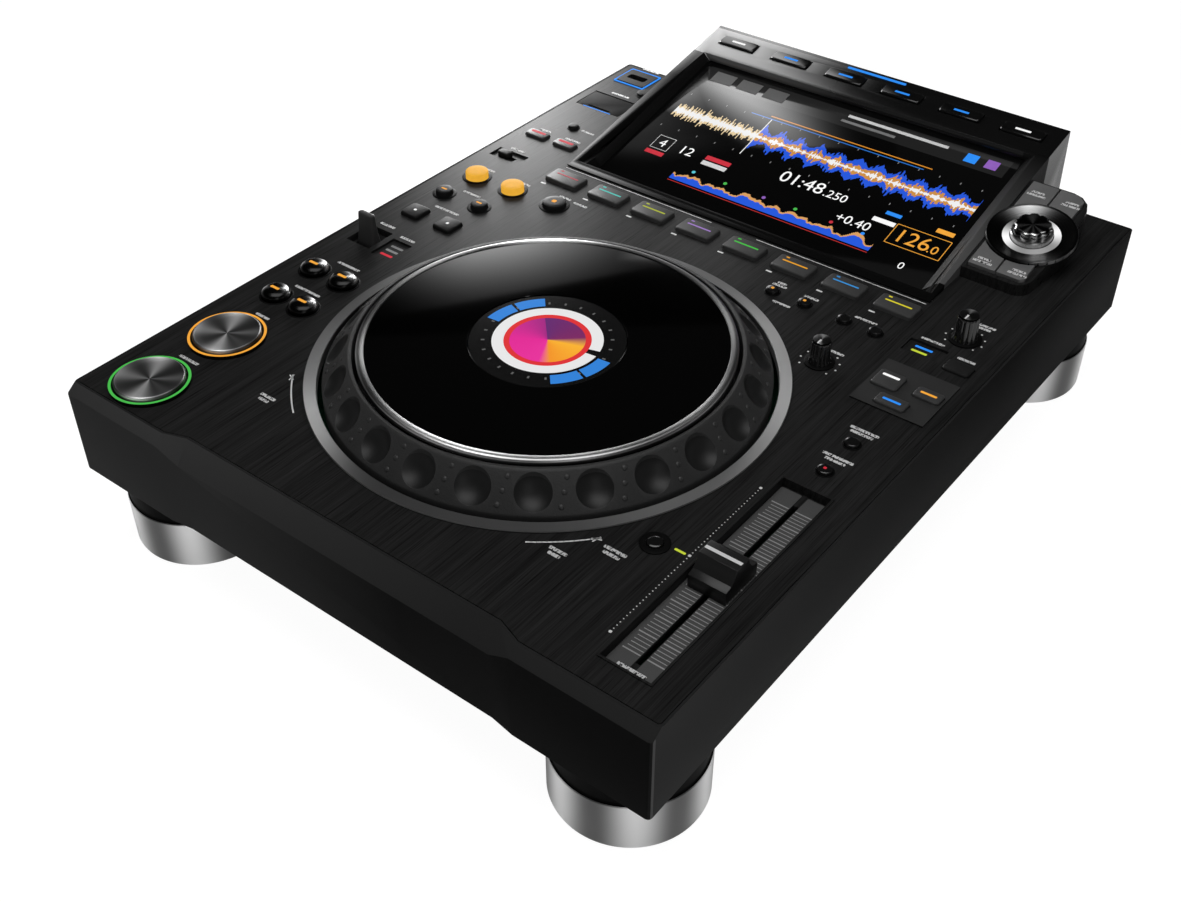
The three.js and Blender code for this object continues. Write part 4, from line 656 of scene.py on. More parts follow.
# %% Feet
FOOT_RADIUS, SLEEVE_TOP = 33.8, 26.6
PAD_RADIUS, PAD_TOP = 30, 0.95
foot_profile = [
    (29.0, 0.0), (29.6, 0.0), (29.6, 0.9), (31.4, 0.9), (32.6, 0.3), (33.4, 0.9),
    (FOOT_RADIUS, 2.0), (FOOT_RADIUS, 26.2), (33.5, SLEEVE_TOP), (33.0, 26.7), (33.0, 27.5),
    (32.9, 27.6), (32.9, 38.9), (32.6, 39.2), (5.0, 39.2), (5.0, 45.4),
]


def sleeve(name, middle):
    """Polished metal with painted bands of light standing upright around a middle line."""
    made = Finish(name, {"Metallic": 1.0})
    x, y, z = made.split(made.where(middle))
    bands = (around(x, y) * 6 - 1.2).cosine() * 0.5 + 0.5
    rings = made.noise_at((0.0, 0.0, z), 3.0, 2)
    return made.feed({
        "Base Color": made.blend(bands ** 1.3, grey(0.13), grey(0.95)),
        "Roughness": rings * 0.14 + 0.3,
        "Normal": made.bump(rings, 0.004),
    })


def foot(node):
    """One turned foot around the middle of the CAD foot's box."""
    low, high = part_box(node)
    middle = Vector(((low.x + high.x) / 2, (low.y + high.y) / 2, 0))
    piece = turned(node + "_turned", foot_profile, middle, 128)
    sleeve(node + "_sleeve", middle)
    dress(piece, node + "_sleeve", "casing", [node])
    finish_faces(
        piece, "rubber_pad", lambda c, n: c.z < PAD_TOP and off_axis(c, middle) < PAD_RADIUS
    )
    finish_faces(piece, "foot_band", lambda c, n: c.z > SLEEVE_TOP)


for corner in ("front_left", "front_right", "rear_left", "rear_right"):
    foot("foot_" + corner)
print("feet turned, radius", FOOT_RADIUS)

# %% [markdown]
# ## The jog wheel
# The wheel is four rings: a flat trim ring on the deck, the black grip ring with its dimples,
# a gloss top plate with a bright rim, and the dial in the middle. The first two are turned
# smooth from closed profiles, since they are hollow in the middle.

# %% Trim ring and grip ring
JOG_MIDDLE = at(*JOG)
TRIM_EDGE = 111.2
trim_profile = [
    (105.5, -4), (105.5, 0.6), (105.8, 0.9), (TRIM_EDGE, 0.9), (111.5, 0.6), (111.5, 0.3),
    (107, 0.3), (107, -4),
]
trim = turned("jog_trim_ring_turned", trim_profile, JOG_MIDDLE, 192, True)
# The trim ring's tone carries painted highlights: wedges of light at the angles where it caught the
# light.
trim_lobes = [
    (20, 22, 0.75), (52, 16, 0.3), (130, 16, 0.85), (212, 16, 0.2), (239, 16, 0.95),
    (290, 45, 0.12), (340, 22, 0.35),
]
spun("trim_satin", JOG_MIDDLE, 0.06, trim_lobes, 0.42)
dress(trim, "trim_satin", "casing", ["jog_trim_ring"])
finish_faces(trim, "tray_floor", lambda c, n: off_axis(c, JOG_MIDDLE) > TRIM_EDGE)
GRIP_OUTER, GRIP_LOW = 103.0, 1.5
GRIP_TOP_RADIUS, GRIP_TOP = 90.0, 15.5
MIDDLE_RADIUS = (GRIP_OUTER + GRIP_TOP_RADIUS) / 2
grip_profile = [
    (24.3, -21.5), (28.3, -21.5), (28.3, -10), (85.2, -10), (100, -7), (GRIP_OUTER, -7),
    (GRIP_OUTER, GRIP_LOW - 0.6), (102.7, GRIP_LOW + 0.3), (91.0, 14.6), (90.4, 15.2),
    (89.8, GRIP_TOP), (88.5, GRIP_TOP), (88.2, 15.2), (88.2, -7), (24.3, -7),
]
grip = turned("jog_grip_ring_turned", grip_profile, JOG_MIDDLE, 240, True)
print("trim and grip turned, outer radius", GRIP_OUTER)

# %% [markdown]
# The finger dimples are shallow parts of balls, so one Boolean cuts them all with a ring of balls.
# The finish then finds the same hollows by angle and climb, makes them smoother and paints shade
# into them.

# %% Dimples
DIMPLES, DIMPLE_START = 24, 5.7
DIMPLE_RADIUS, DIMPLE_DEPTH = 8.3, 3.0
ball_radius = (DIMPLE_RADIUS**2 + DIMPLE_DEPTH**2) / (2 * DIMPLE_DEPTH)
slope = math.atan2(GRIP_TOP - GRIP_LOW, GRIP_OUTER - GRIP_TOP_RADIUS)


def on_slope(angle, up_slope, out):
    """A point on the grip's slope: an angle, a climb from its middle and a height off it."""
    radius = MIDDLE_RADIUS - up_slope * math.cos(slope) + out * math.sin(slope)
    height = (GRIP_LOW + GRIP_TOP) / 2 + up_slope * math.sin(slope) + out * math.cos(slope)
    return at(JOG[0] + radius * math.cos(angle), JOG[1] + radius * math.sin(angle), height)


balls = []
for k in range(DIMPLES):
    angle = math.radians(DIMPLE_START + 360 * k / DIMPLES)
    place = on_slope(angle, 0, ball_radius - DIMPLE_DEPTH)
    bpy.ops.mesh.primitive_uv_sphere_add(
        segments=48, ring_count=24, radius=ball_radius * MM, location=place
    )
    balls.append(bpy.context.object)
cutter = settle(joined("dimple_cutter", balls), "dimple_cutter")
bpy.context.view_layer.objects.active = grip
dimples = grip.modifiers.new("dimples", "BOOLEAN")
dimples.object, dimples.operation, dimples.solver = cutter, "DIFFERENCE", "EXACT"
bpy.ops.object.modifier_apply(modifier="dimples")
bpy.data.objects.remove(cutter)
settle(grip, "jog_grip_ring_turned", 24)
# The hollows are smoother than the grained face round them, and their darker tone is painted shade
grip_face = Finish("grip_face", {"Specular IOR Level": 0.3})
x, y, _ = grip_face.split(grip_face.where(JOG_MIDDLE))
step = 360 / DIMPLES
sideways = ((around(x, y) * DEGREES - DIMPLE_START) / step + 0.5) % 1.0 - 0.5
sideways = sideways * (math.radians(step) * MIDDLE_RADIUS)
climb = (distance(x, y) - MIDDLE_RADIUS) / math.cos(slope)
hollow = distance(sideways, climb) < DIMPLE_RADIUS - 0.4
grain = grip_face.noise(grip_face.where(), 1.4, 3)
raised = grip_face.blend(grain, grey(0.022), grey(0.036))
grip_face.feed({
    "Base Color": grip_face.blend(hollow, raised, grey(0.009)),
    "Roughness": 0.5 - hollow * 0.04,
    "Normal": grip_face.bump(grain * (1 - hollow), 0.12),
})
dress(grip, "grip_face", "jog", ["jog_grip_ring"])
print("grip ring faces", len(grip.data.polygons))

# %% [markdown]
# Three studs stand between each pair of dimples, in a row that leans a little. One stud is a
# flattened ball; the others are copies of it.

# %% Studs on the grip
STUD_RADIUS, STUD_RISE = 1.3, 0.4
studs = []
for k in range(DIMPLES):
    for climb, lean in ((6.0, 0.9), (0, 0), (-6.0, -0.9)):
        angle = math.radians(DIMPLE_START + 360 * (k + 0.5) / DIMPLES + lean)
        bpy.ops.mesh.primitive_uv_sphere_add(
            segments=12, ring_count=6, radius=STUD_RADIUS * MM,
            location=on_slope(angle, climb, 0),
        )
        stud = bpy.context.object
        stud.scale = (1, 1, STUD_RISE)
        stud.rotation_euler = Euler((0, slope, angle), "XYZ")
        studs.append(stud)
studs = settle(joined("jog_grip_studs", studs), "jog_grip_studs", 60)
dress(studs, "grip_rubber", "jog")
print("studs", DIMPLES * 3)

# %% [markdown]
# The top plate is black acrylic: almost a mirror, so it shows the studio more than itself.
# Faint turning marks in its roughness keep it from looking like glass. Its bright rim is the
# same piece with a second finish on the outermost faces.

# %% Top plate
platter = Finish("platter_gloss", {"Specular IOR Level": 0.5})
x, y, _ = platter.split(platter.where(JOG_MIDDLE))
circles = platter.noise_at((distance(x, y), 0.0, 0.0), 1.5, 1)
platter.feed({
    "Base Color": platter.blend(circles, grey(0.0005), grey(0.001)),
    "Roughness": circles * 0.02 + 0.04,
})
PLATE_RADIUS, RIM_INNER, PLATE_TOP = 86.5, 82.7, 17.0
top_profile = [
    (36.3, 14), (40.3, 14), (40.3, -6.7), (44.3, -6.7), (44.3, 14), (86.2, 14),
    (PLATE_RADIUS, 14.3), (PLATE_RADIUS, 15.6), (86.3, 16.3), (85.7, 16.8), (84.9, PLATE_TOP),
    (84.0, 16.97), (83.0, 16.85), (RIM_INNER, 16.4), (36.4, 16.4), (36.3, 16.3),
]
top_plate = turned("jog_top_plate_turned", top_profile, JOG_MIDDLE, 240, True)
dress(top_plate, "platter_gloss", "jog", ["jog_top_plate"])
# The rim's tone carries painted highlights: wedges of light at the angles where it caught the
# light.
rim_lobes = [
    (0, 18, 0.5), (45, 16, 0.4), (128, 12, 0.7), (172, 16, 0.25), (225, 12, 0.5),
    (278, 22, 0.9), (320, 14, 0.3),
]
spun("plate_rim", JOG_MIDDLE, 0.035, rim_lobes, 0.34)
finish_faces(
    top_plate, "plate_rim",
    lambda c, n: c.z > DECK_TOP + 14 and off_axis(c, JOG_MIDDLE) > RIM_INNER,
)
print("top plate faces", len(top_plate.data.polygons))

# %% [markdown]
# ## The dial in the middle of the wheel
# A round display sits still under the turning plate. Its picture is drawn by the finish: rings
# and sectors are tests on the distance and the angle from its centre, so they stay sharp at
# any size. The design is a plain one: two rings, two split arcs, a fan of colours and hour ticks.

# %% Centre dial
def paint(finish, colour, *layers):
    """Lays masks over a colour, each with its own colour."""
    for mask, tone in layers:
        colour = finish.blend(mask, colour, tone)
    return colour


dial_screen = Finish("dial_screen", {"Roughness": 0.12, "Emission Strength": 1.0})
x, y, _ = dial_screen.split(dial_screen.where(JOG_MIDDLE))
CORE, RED_RING, WHITE_RING = 17.3, 20.0, 25.4
reach = distance(x, y)
turn_share = around(x, y) / (2 * math.pi) + 0.5
fan = dial_screen.node("ShaderNodeValToRGB", {
    "stops": [
        (0.0, (0.35, 0.02, 0.22, 1)), (0.22, (0.75, 0.02, 0.3, 1)), (0.45, (0.8, 0.03, 0.33, 1)),
        (0.5, (0.9, 0.3, 0.02, 1)), (0.68, (0.95, 0.45, 0.03, 1)), (0.75, (0.2, 0.02, 0.12, 1)),
        (1.0, (0.12, 0.02, 0.16, 1)),
    ]
}, {0: (turn_share + 0.13) % 1.0})
hours = abs((turn_share * 24) % 1.0 - 0.5) < 0.06
arc_turn = (turn_share * 2 + 0.27) % 1.0
arcs = between(arc_turn, 0.0, 0.3) * (1 - between(arc_turn, 0.143, 0.157))
picture = paint(
    dial_screen, grey(0.0),
    (reach < CORE, fan),
    (between(reach, CORE, RED_RING), (0.72, 0.03, 0.035, 1)),
    (between(reach, RED_RING, WHITE_RING) * (1 - between(turn_share, 0.52, 0.545)), grey(0.8)),
    (between(reach, 27.0, 33.4) * arcs, (0.03, 0.22, 0.68, 1)),
    (between(reach, 28.6, 30.2) * hours * (1 - arcs), grey(0.12)),
)
dial_screen.feed({"Base Color": grey(0.004), "Emission Color": picture})
dial_profile = [(19.7, -26.0), (19.7, 13), (35.7, 13), (36, 13.3), (36, 15.8), (35.8, 16)]
dial = turned("jog_display_turned", dial_profile, JOG_MIDDLE, 128)
dress(dial, "dial_screen", "casing", ["jog_display"])
print("dial made")

# %% [markdown]
# ## Transport buttons
# Play and cue are wide dished buttons of turned metal inside a lit ring. A shallow dish is the
# profile's last steps going down towards the middle.

# %% Transport buttons
dished_profile = [
    (17.3, -4.4), (17.5, -3.4), (16.2, -3.3), (16.2, 2.7), (15.9, 3.2), (15.4, 3.4), (14.9, 3.2),
    (11, 2.75), (7, 2.5), (3, 2.42), (0.2, 2.4),
]
ring_profile = [(17.2, 0.02), (17.2, 1.95), (18.3, 2.0), (18.5, 1.9), (18.5, 0.02)]
# Painted highlights: wedges of light in the dished buttons' tone.
dished_lobes = [(-62, 20, 1.0), (118, 22, 0.8), (205, 20, 0.45), (38, 12, 0.3), (-10, 12, 0.1)]
for name, node, place, glow in (
    ("play", "play_pause_button", (-135.5, -188.2), "lamp_green"),
    ("cue", "cue_button", (-135.5, -142.5), "lamp_amber"),
):
    middle = at(*place)
    spun(name + "_button_metal", middle, 0.075, dished_lobes, 0.42)
    button = turned(name + "_button_turned", dished_profile, middle, 96)
    dress(button, name + "_button_metal", node, [node])
    ring = turned(name + "_ring", ring_profile, middle, 96, True)
    dress(ring, glow, "casing")
    finish_faces(ring, "key_side", lambda c, n: n.z < 0.5)
print("transport buttons made")

# %% [markdown]
# ## Round caps that tip or press
# Pairs of round caps share one bridge under the deck, so both caps of a pair are one piece
# that rides on one body. A cap is turned once with its own profile and copied.

# %% Round caps
KEYS = {
    "search": [(-144, -104), (-125, -104)],
    "track": [(-145.6, -76.5), (-125.5, -76.5)],
    "loop": [(-146.4, 21), (-121.3, 21)],
    "loop_in": [(-144.4, 45.6)],
    "loop_out": [(-119, 46)],
    "reloop": [(-91, 47.5)],
    "time": [(-138.5, 124)],
    "stop": [(-131.5, 183.6)],
    "call": [(47, 47.8), (65.3, 47.8)],
    "memory": [(87.7, 47.2), (104.7, 47.2)],
    "tempo": [(138, -54.6), (138, -32)],
    "reset": [(107.7, -134)],
}


def each_of(key):
    """The places of a key or of a pair of keys, each after the ending of its name."""
    ends = ("_front", "_rear") if key == "tempo" else ("_left", "_right")
    return zip(ends if len(KEYS[key]) > 1 else ("",), KEYS[key])


def rounded_cap(radius, rise, soft=0.8, sink=5.0):
    """Profile of a straight cap with a soft edge and a barely crowned top."""
    return [
        (radius, -sink), (radius, rise - soft), (radius - soft * 0.3, rise - soft * 0.35),
        (radius - soft, rise - 0.05), (radius * 0.5, rise), (0.2, rise),
    ]


def dome_metal(name, places):
    """Dark polished domes, each with a painted bar of light across its own middle."""
    made = Finish(name, {"Metallic": 1.0, "Roughness": 0.24})
    tone = 0.0
    for place in places:
        x, y, _ = made.split(made.where(at(*place)))
        wedge = ((around(x, y) * 2 - 0.9).cosine() * 0.5 + 0.5) ** 10
        tone = wedge * ((x * x + y * y) < 60.0) + tone
    spot = made.noise(made.where(), 1.6)
    tone = tone * (spot * 0.4 + 0.8)
    return made.feed({"Base Color": made.blend(tone, grey(0.02), grey(0.8))})


dome = [
    (6.4, -5), (7.0, -1.2), (7.12, 0.3), (7.35, 1.2), (7.1, 2.4), (6.4, 3.3), (5.2, 4.1),
    (3.6, 4.5), (1.6, 4.6), (0.2, 4.6),
]
lit_cap = rounded_cap(6.3, 4, 0.6)
dome_metal("search_metal", KEYS["search"])
dome_metal("track_metal", KEYS["track"])
for name, node, key, profile, segments, finish, slot in (
    ("search_domes", "search_keys", "search", dome, 64, "search_metal", "dark_metal"),
    ("track_domes", "track_search_keys", "track", dome, 64, "track_metal", "dark_metal"),
    ("beat_loop_caps", "beat_loop_keys", "loop", rounded_cap(4.6, 3), 64, "key_flush", ""),
    ("loop_in_cap", "loop_in_button", "loop_in", lit_cap, 64, "lamp_key", "amber"),
    ("loop_out_cap", "loop_out_button", "loop_out", lit_cap, 64, "lamp_key", "amber"),
    ("reloop_cap", "reloop_button", "reloop", rounded_cap(6.4, 2.6, 1.0), 64, "key_flush", ""),
    ("time_cap", "time_mode_button", "time", rounded_cap(3, 2), 40, "key_matt", ""),
    ("stop_cap", "usb_stop_button", "stop", rounded_cap(4, 2), 48, "key_matt", ""),
    ("call_caps", "call_keys", "call", rounded_cap(3.3, 2.4), 40, "key_jewel", ""),
    ("memory_caps", "memory_keys", "memory", rounded_cap(3.3, 2.4), 40, "key_jewel", ""),
    ("tempo_caps", "tempo_keys", "tempo", rounded_cap(3.4, 2), 40, "key_jewel", ""),
    ("reset_cap", "tempo_reset_button", "reset", rounded_cap(3.6, 1.6, 0.9), 48, "key_jewel", ""),
):
    caps = [turned(f"{name}{end}", profile, at(*place), segments) for end, place in each_of(key)]
    dress(joined(name, caps), finish, node, [node])
print("round caps made")

# %% [markdown]
# Each round key sits in a small collar. The collar also hides the edge of its hole.

# %% Collars round the small keys
# A collar's very dark tone is painted shade: it stands for the shaded well round the key or knob.
def collar(name, place, inner, outer, rise):
    profile = [
        (inner, 0.02), (inner, rise), (outer - 0.3, rise), (outer, rise - 0.15), (outer, 0.02),
    ]
    return dress(turned(name, profile, at(*place), 64, True), "key_side", "casing")


for key, inner, outer in (
    ("search", 7.7, 8.5), ("track", 7.7, 8.5), ("loop", 4.9, 6.6), ("loop_in", 6.6, 8.3),
    ("loop_out", 6.6, 8.3), ("reloop", 6.7, 8.4), ("time", 3.3, 3.9), ("stop", 4.3, 5.0),
    ("call", 3.6, 4.2), ("memory", 3.6, 4.2), ("tempo", 3.7, 4.3), ("reset", 4.0, 6.5),
):
    for end, place in each_of(key):
        collar(f"collar_{key}{end}", place, inner, outer, 0.65 if key == "reset" else 0.35)
print("collars round", len(KEYS), "kinds of key")

# %% [markdown]
# ## Knobs
# A knob's grip is a circle whose every third corner is pulled in before it is drawn up, which
# gives the flutes. The small knobs have a bright turned top.

# %% Knobs
def fluted(name, profile, place, count, flute, tilt=0.0):
    """A fluted knob: its outline has `count` grooves, `flute` deep."""
    radius, height = profile[0]
    start = (0, 0, height * MM)
    bpy.ops.mesh.primitive_circle_add(
        vertices=count * 4, radius=radius * MM, fill_type="NGON", location=start
    )
    piece = bpy.context.object
    edit("DESELECT")
    mesh = bmesh.from_edit_mesh(piece.data)
    for k, corner in enumerate(mesh.verts):
        corner.select = k % 4 == 0
    mesh.select_flush(True)
    share = 1 - flute / radius
    bpy.ops.transform.resize(value=(share, share, 1), center_override=start)
    bpy.ops.mesh.select_all(action="SELECT")
    draw_up(profile, (0, 0, 0))
    face_out()
    return stand(piece, name, place, tilt, 0.0, 50)


KNOBS = {  # body, place, radius, rise
    "release": ("release_knob", (95.8, 11.3), 5.6, 13),
    "adjust": ("jog_adjust_knob", (140.3, 69.1), 6.4, 14),
}
for name, (node, place, radius, rise) in KNOBS.items():
    name, middle = name + "_knob_fluted", at(*place)
    profile = [
        (radius, 1.1), (radius, 2.4), (radius * 0.86, 4), (radius * 0.82, rise - 0.8),
        (radius * 0.76, rise - 0.1),
    ]
    dress(fluted(name, profile, middle, 12, 0.5), "knob_black", node, [node])
    edge = radius * 0.72
    top = [(edge, rise - 0.3), (edge, rise - 0.1), (radius * 0.66, rise), (0.2, rise)]
    # The bright top carries two painted wedges of light.
    spun(name + "_metal", middle, 0.05, [(100, 24, 0.9), (-75, 14, 0.7)], 0.3)
    dress(turned(name + "_top", top, middle, 48), name + "_metal", node)
    mark = at(place[0], place[1] - radius * 0.42, rise - 0.04)
    dress(plate(name + "_pointer", 0.9, radius * 0.6, 0.06, 0.2, mark), "print_pale", node)
    collar(name + "_seat", place, 3.4, radius + 1.6, 0.85)
print("knobs made")

# %% [markdown]
# ## The browse selector in its dish
# The display's outer plane slopes towards the front. The dish, its lit ring and the selector
# stand square to that plane, so they are made flat at the origin, then tipped and moved.

# %% Slope of the display
PLANE_FRONT, PLANE_REAR = 89.5, 236.5
PLANE_LOW, PLANE_HIGH = 0.9, 31
SLOPE = math.atan2(PLANE_HIGH - PLANE_LOW, PLANE_REAR - PLANE_FRONT)


def on_plane(x, y, up=0.0):
    """A point `up` millimetres off the display's sloping plane."""
    base = at(x, y, PLANE_LOW + (y - PLANE_FRONT) * math.tan(SLOPE))
    return base + Vector((0, -math.sin(SLOPE), math.cos(SLOPE))) * up * MM


DISH = on_plane(133, 151.8)
print("slope", round(math.degrees(SLOPE), 2), "degrees")

# %% [markdown]
# The dish is turned metal, with a pale ring round the selector's foot whose glow is painted in
# crescents of light. The selector is fluted like the knobs, with nine wide grooves. All painted
# wedges of light follow the dish's own axis.

# %% Dish and selector
dish_profile = [
    (22.45, 0.1), (22.5, 2.2), (22.2, 2.5), (21.6, 2.55), (20.9, 2.3), (15.2, 0.85),
    (14.6, 0.72), (12.2, 0.66), (3.5, 0.66), (3.5, 0.1),
]
glow_profile = [(10.9, 0.7), (10.9, 0.95), (14.0, 1.0), (14.4, 0.75)]
base_profile = [(10.5, 0.95), (10.5, 3.3), (10.1, 3.8), (3, 3.85), (3, 0.95)]
knob_profile = [
    (9.9, 3.7), (9.7, 4.2), (8.8, 4.8), (8.7, 5.6), (9.3, 7.2), (9.55, 9.2), (9.3, 10.6),
    (8.6, 11.5), (7.6, 11.85), (6.4, 11.75), (0.2, 11.6),
]
spun("dish_metal", DISH, 0.012, [(122, 26, 0.45), (-52, 15, 0.6)], 0.3, SLOPE)
# The ring's glow is painted: crescents of light at opposite angles, with a faint third wedge, over
# a dim glow all round.
crescents = Finish("crescents", {"Emission Strength": 1.0, "Specular IOR Level": 0.02})
crescent = crescents.wedges(DISH, SLOPE, 0.06, [(38, 34, 0.9), (218, 34, 0.9), (-52, 40, 0.25)])
glowing = crescents.blend(crescent, grey(0.0), grey(1.0))
crescents.feed({"Base Color": grey(0.05), "Emission Color": glowing})
selector_lobes = [
    (-95, 9, 0.9), (-62, 7, 0.7), (-30, 7, 0.8), (20, 12, 0.5), (120, 20, 0.5), (-140, 10, 0.5),
]
spun("selector_metal", DISH, 0.02, selector_lobes, 0.2, SLOPE)
for name, profile, segments, finish, body, slot in (
    ("selector_dish_turned", dish_profile, 128, "dish_metal", "casing", "gloss_black"),
    ("selector_glow", glow_profile, 96, "crescents", "casing", None),
    ("selector_base", base_profile, 72, "knurl_metal", "rotary_selector", "bright_metal"),
):
    ring = turned(name, profile, (0, 0, 0), segments, True)
    dress(stand(ring, name, DISH, SLOPE), finish, body)
selector = fluted("selector_fluted", knob_profile, DISH, 9, 1.1, SLOPE)
dress(selector, "selector_metal", "rotary_selector", ["rotary_selector"])
print("selector made")

# %% [markdown]
# ## The display
# The screen is one pane of glass. Its picture is painted by tests on two distances: `across`
# from the middle and `along` the glass from its front edge. A wave of sound is noise sampled in
# narrow columns, so each column has one height, and three wave sizes give the colours of low,
# middle and high notes.

# %% Screen picture
GLASS_TILT = math.radians(13.4)
glass_origin = at(0, 97, -5.2)
screen = Finish("screen_picture", {
    "Roughness": 0.5, "Emission Strength": 1.0, "Specular IOR Level": 0.0, "Coat Roughness": 0.07,
})
across, along, _ = screen.split(screen.where(glass_origin, (GLASS_TILT, 0, 0)))


def columns(position, width, seed, scale, detail=2.0):
    """A random height from 0 to 1 for each column of a width."""
    step = (position / width).floor() * width
    value = screen.noise_at((step, float(seed), 0.0), scale, detail)
    return clamp((value - 0.5) * 2.6 + 0.5)


WAVE_MIDDLE, BEAT, CURSOR = 68.0, 12.4, -38.0
STRIP_FOOT, STRIP_LEFT, STRIP_RIGHT = 16.0, -62.0, 64.0
from_middle = abs(along - WAVE_MIDDLE)
beat = abs((across / BEAT) % 1.0 - 0.5)
swell = ((beat * 2.0) ** 1.4) * 0.55 + 0.45
loud = across > CURSOR
low_notes = (columns(across, 1.1, 3, 0.9) * 0.45 + 0.55) * swell * 14.0
mid_notes = (columns(across, 0.9, 8, 0.7) * 0.7 + 0.3) * swell * 7.5
high_notes = (columns(across, 0.7, 15, 1.1) ** 2.0 + 0.12) * swell * 7.0
intro = columns(across, 0.6, 21, 0.8) ** 1.6 * 6.5 + 2.0
inside = between(across, -93.5, 97.0)
quiet_inside, loud_inside = (1 - loud) * inside, loud * inside
strip = along - STRIP_FOOT
strip_height = columns(across, 0.7, 30, 0.09, 3) * 9.0 + 1.6
strip_width = between(across, STRIP_LEFT, STRIP_RIGHT)
strip_inside = strip_width * (strip > 0.0)
played = between(along, 86.6, 87.3) * between(across, -40.0, 62.0)
to_play = between(along, 84.4, 85.0) * between(across, -52.0, 58.0)
grid = (beat < 0.02) * (abs(from_middle - 15.5) < 0.7)
cursor = (abs(across - CURSOR) < 0.3) * (from_middle < 17.0)
blue, amber_tone = (0.02, 0.1, 0.72, 1), (0.62, 0.28, 0.06, 1)
picture = paint(
    screen, grey(0.0),
    (between(along, 97.0, 111.0) * (abs(across) < 97.0), grey(0.013)),
    ((from_middle < intro) * quiet_inside, (0.8, 0.62, 0.36, 1)),
    ((from_middle < intro * 0.5) * quiet_inside, grey(0.86)),
    ((from_middle < low_notes) * loud_inside, blue),
    ((from_middle < mid_notes) * loud_inside, amber_tone),
    ((from_middle < high_notes * 0.5) * loud_inside, grey(0.9)),
    (grid, grey(0.25)),
    (cursor, grey(0.8)),
    (played, (0.8, 0.3, 0.03, 1)),
    (to_play, (0.03, 0.2, 0.7, 1)),
    ((strip < strip_height) * strip_inside, (0.7, 0.35, 0.12, 1)),
    ((strip < strip_height * 0.72) * strip_inside, blue),
    (between(strip, -1.6, -1.1) * strip_width, (0.5, 0.03, 0.03, 1)),
)
# The sheen lies on the rear half of the glass only, as the reflection did in the picture
sheen = clamp((along - 52 + across * 0.1) / 34, 0.04) * (across > -100.0)
screen.feed({"Base Color": grey(0.003), "Emission Color": picture, "Coat Weight": sheen})
coat(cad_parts["display_glass"], "screen_picture")
soften(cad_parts["display_glass"], 0.2)
print("screen painted, tilt", round(math.degrees(GLASS_TILT), 1), "degrees")

# %% [markdown]
# Figures, boxes and dots on the screen are thin pieces a hair above the glass. They are
# plain: a running time, a tempo and a few counters, as any player shows.


# %% Screen figures
def on_glass(across_mm, along_mm, up=0.0):
    """A point on the glass, by the screen's own two distances."""
    side = Vector((across_mm, 0, 0))
    forward = Vector((0, math.cos(GLASS_TILT), math.sin(GLASS_TILT))) * along_mm
    out = Vector((0, -math.sin(GLASS_TILT), math.cos(GLASS_TILT))) * (up - 0.3)
    return glass_origin + (side + forward + out) * MM


FONT_SHARE = 1.38  # font size for figures of height 1


def figures(name, text, size, u, v, finish):
    """Numbers as a flat mesh on the glass, `size` high and centred on a place."""
    bpy.ops.object.text_add(location=(0, 0, 0))
    words = bpy.context.object
    words.data.body = text
    words.data.size = size * MM * FONT_SHARE
    words.data.extrude = 0.02 * MM
    words.data.align_x = "CENTER"
    words.data.resolution_u = 4
    pick(words)
    bpy.ops.object.convert(target="MESH")
    piece = stand(bpy.context.object, name, on_glass(u, v, 0.05), GLASS_TILT)
    return dress(piece, finish)


def glass_plate(name, u, v, width, height, corner=0.3):
    return plate(name, width, height, 0.03, corner, on_glass(u, v, 0.04), GLASS_TILT)


for name, text, size, u, v, glow in (
    ("time", "01:48", 9.0, 6, 42, "white"),
    ("time_parts", ".250", 6.0, 27.5, 42, "white"),
    ("tempo", "+0.40", 6.5, 46, 28.5, "white"),
    ("beats", "126", 10.0, 80, 29, "amber"),
    ("beats_part", ".0", 6.0, 92.5, 29, "amber"),
    ("counter", "4", 6.5, -82, 36, "white"),
    ("song", "12", 7.0, -66, 36, "white"),
    ("key_step", "0", 5.0, 84, 12, "white"),
):
    figures("screen_" + name, text, size, u, v, "lamp_" + glow)
for name, u, v, w, h, line, finish in (
    ("box_beats", 83, 33.5, 31, 15, 0.4, "lamp_amber"),
    ("box_counter", -82, 39, 11, 11, 0.35, "print_pale"),
):
    sides = [
        glass_plate(f"side_{k}", u + du, v + dv, width, height, 0)
        for k, (du, dv, width, height) in enumerate((
            (0, h / 2, w, line), (0, -h / 2, w, line), (w / 2, 0, line, h), (-w / 2, 0, line, h),
        ))
    ]
    dress(joined("screen_" + name, sides), finish)
for name, u, v, width, height, finish in (
    ("tag_amber", 92, 46, 10, 3.2, "lamp_amber"),
    ("tag_blue", 62, 46, 9, 2.6, "lamp_blue"),
    ("tag_white", 60, 39, 13, 3.2, "lamp_white"),
    ("tag_red", -45, 40, 16, 3.4, "lamp_red"),
    ("tag_grey", -45, 35.5, 16, 3.4, "print_pale"),
    ("tag_red_low", -82, 30, 12, 3.2, "lamp_red"),
    ("button_left", -84, 104, 14, 9, "key_pad"),
    ("button_middle", -66, 104, 14, 9, "key_pad"),
    ("button_right", -48, 104, 14, 9, "key_pad"),
    ("title", 30, 106.5, 62, 2.2, "print_pale"),
    ("subtitle", 14, 101.5, 34, 2.0, "print_dim"),
    ("icon_pink", 88, 104, 7, 7, "lamp_purple"),
    ("icon_blue", 76, 104, 7, 7, "lamp_blue"),
):
    dress(glass_plate("screen_" + name, u, v, width, height), finish)
dots = ((-52, "cyan"), (-31, "green"), (-6, "purple"), (14, "green"), (36, "red"), (55, "blue"))
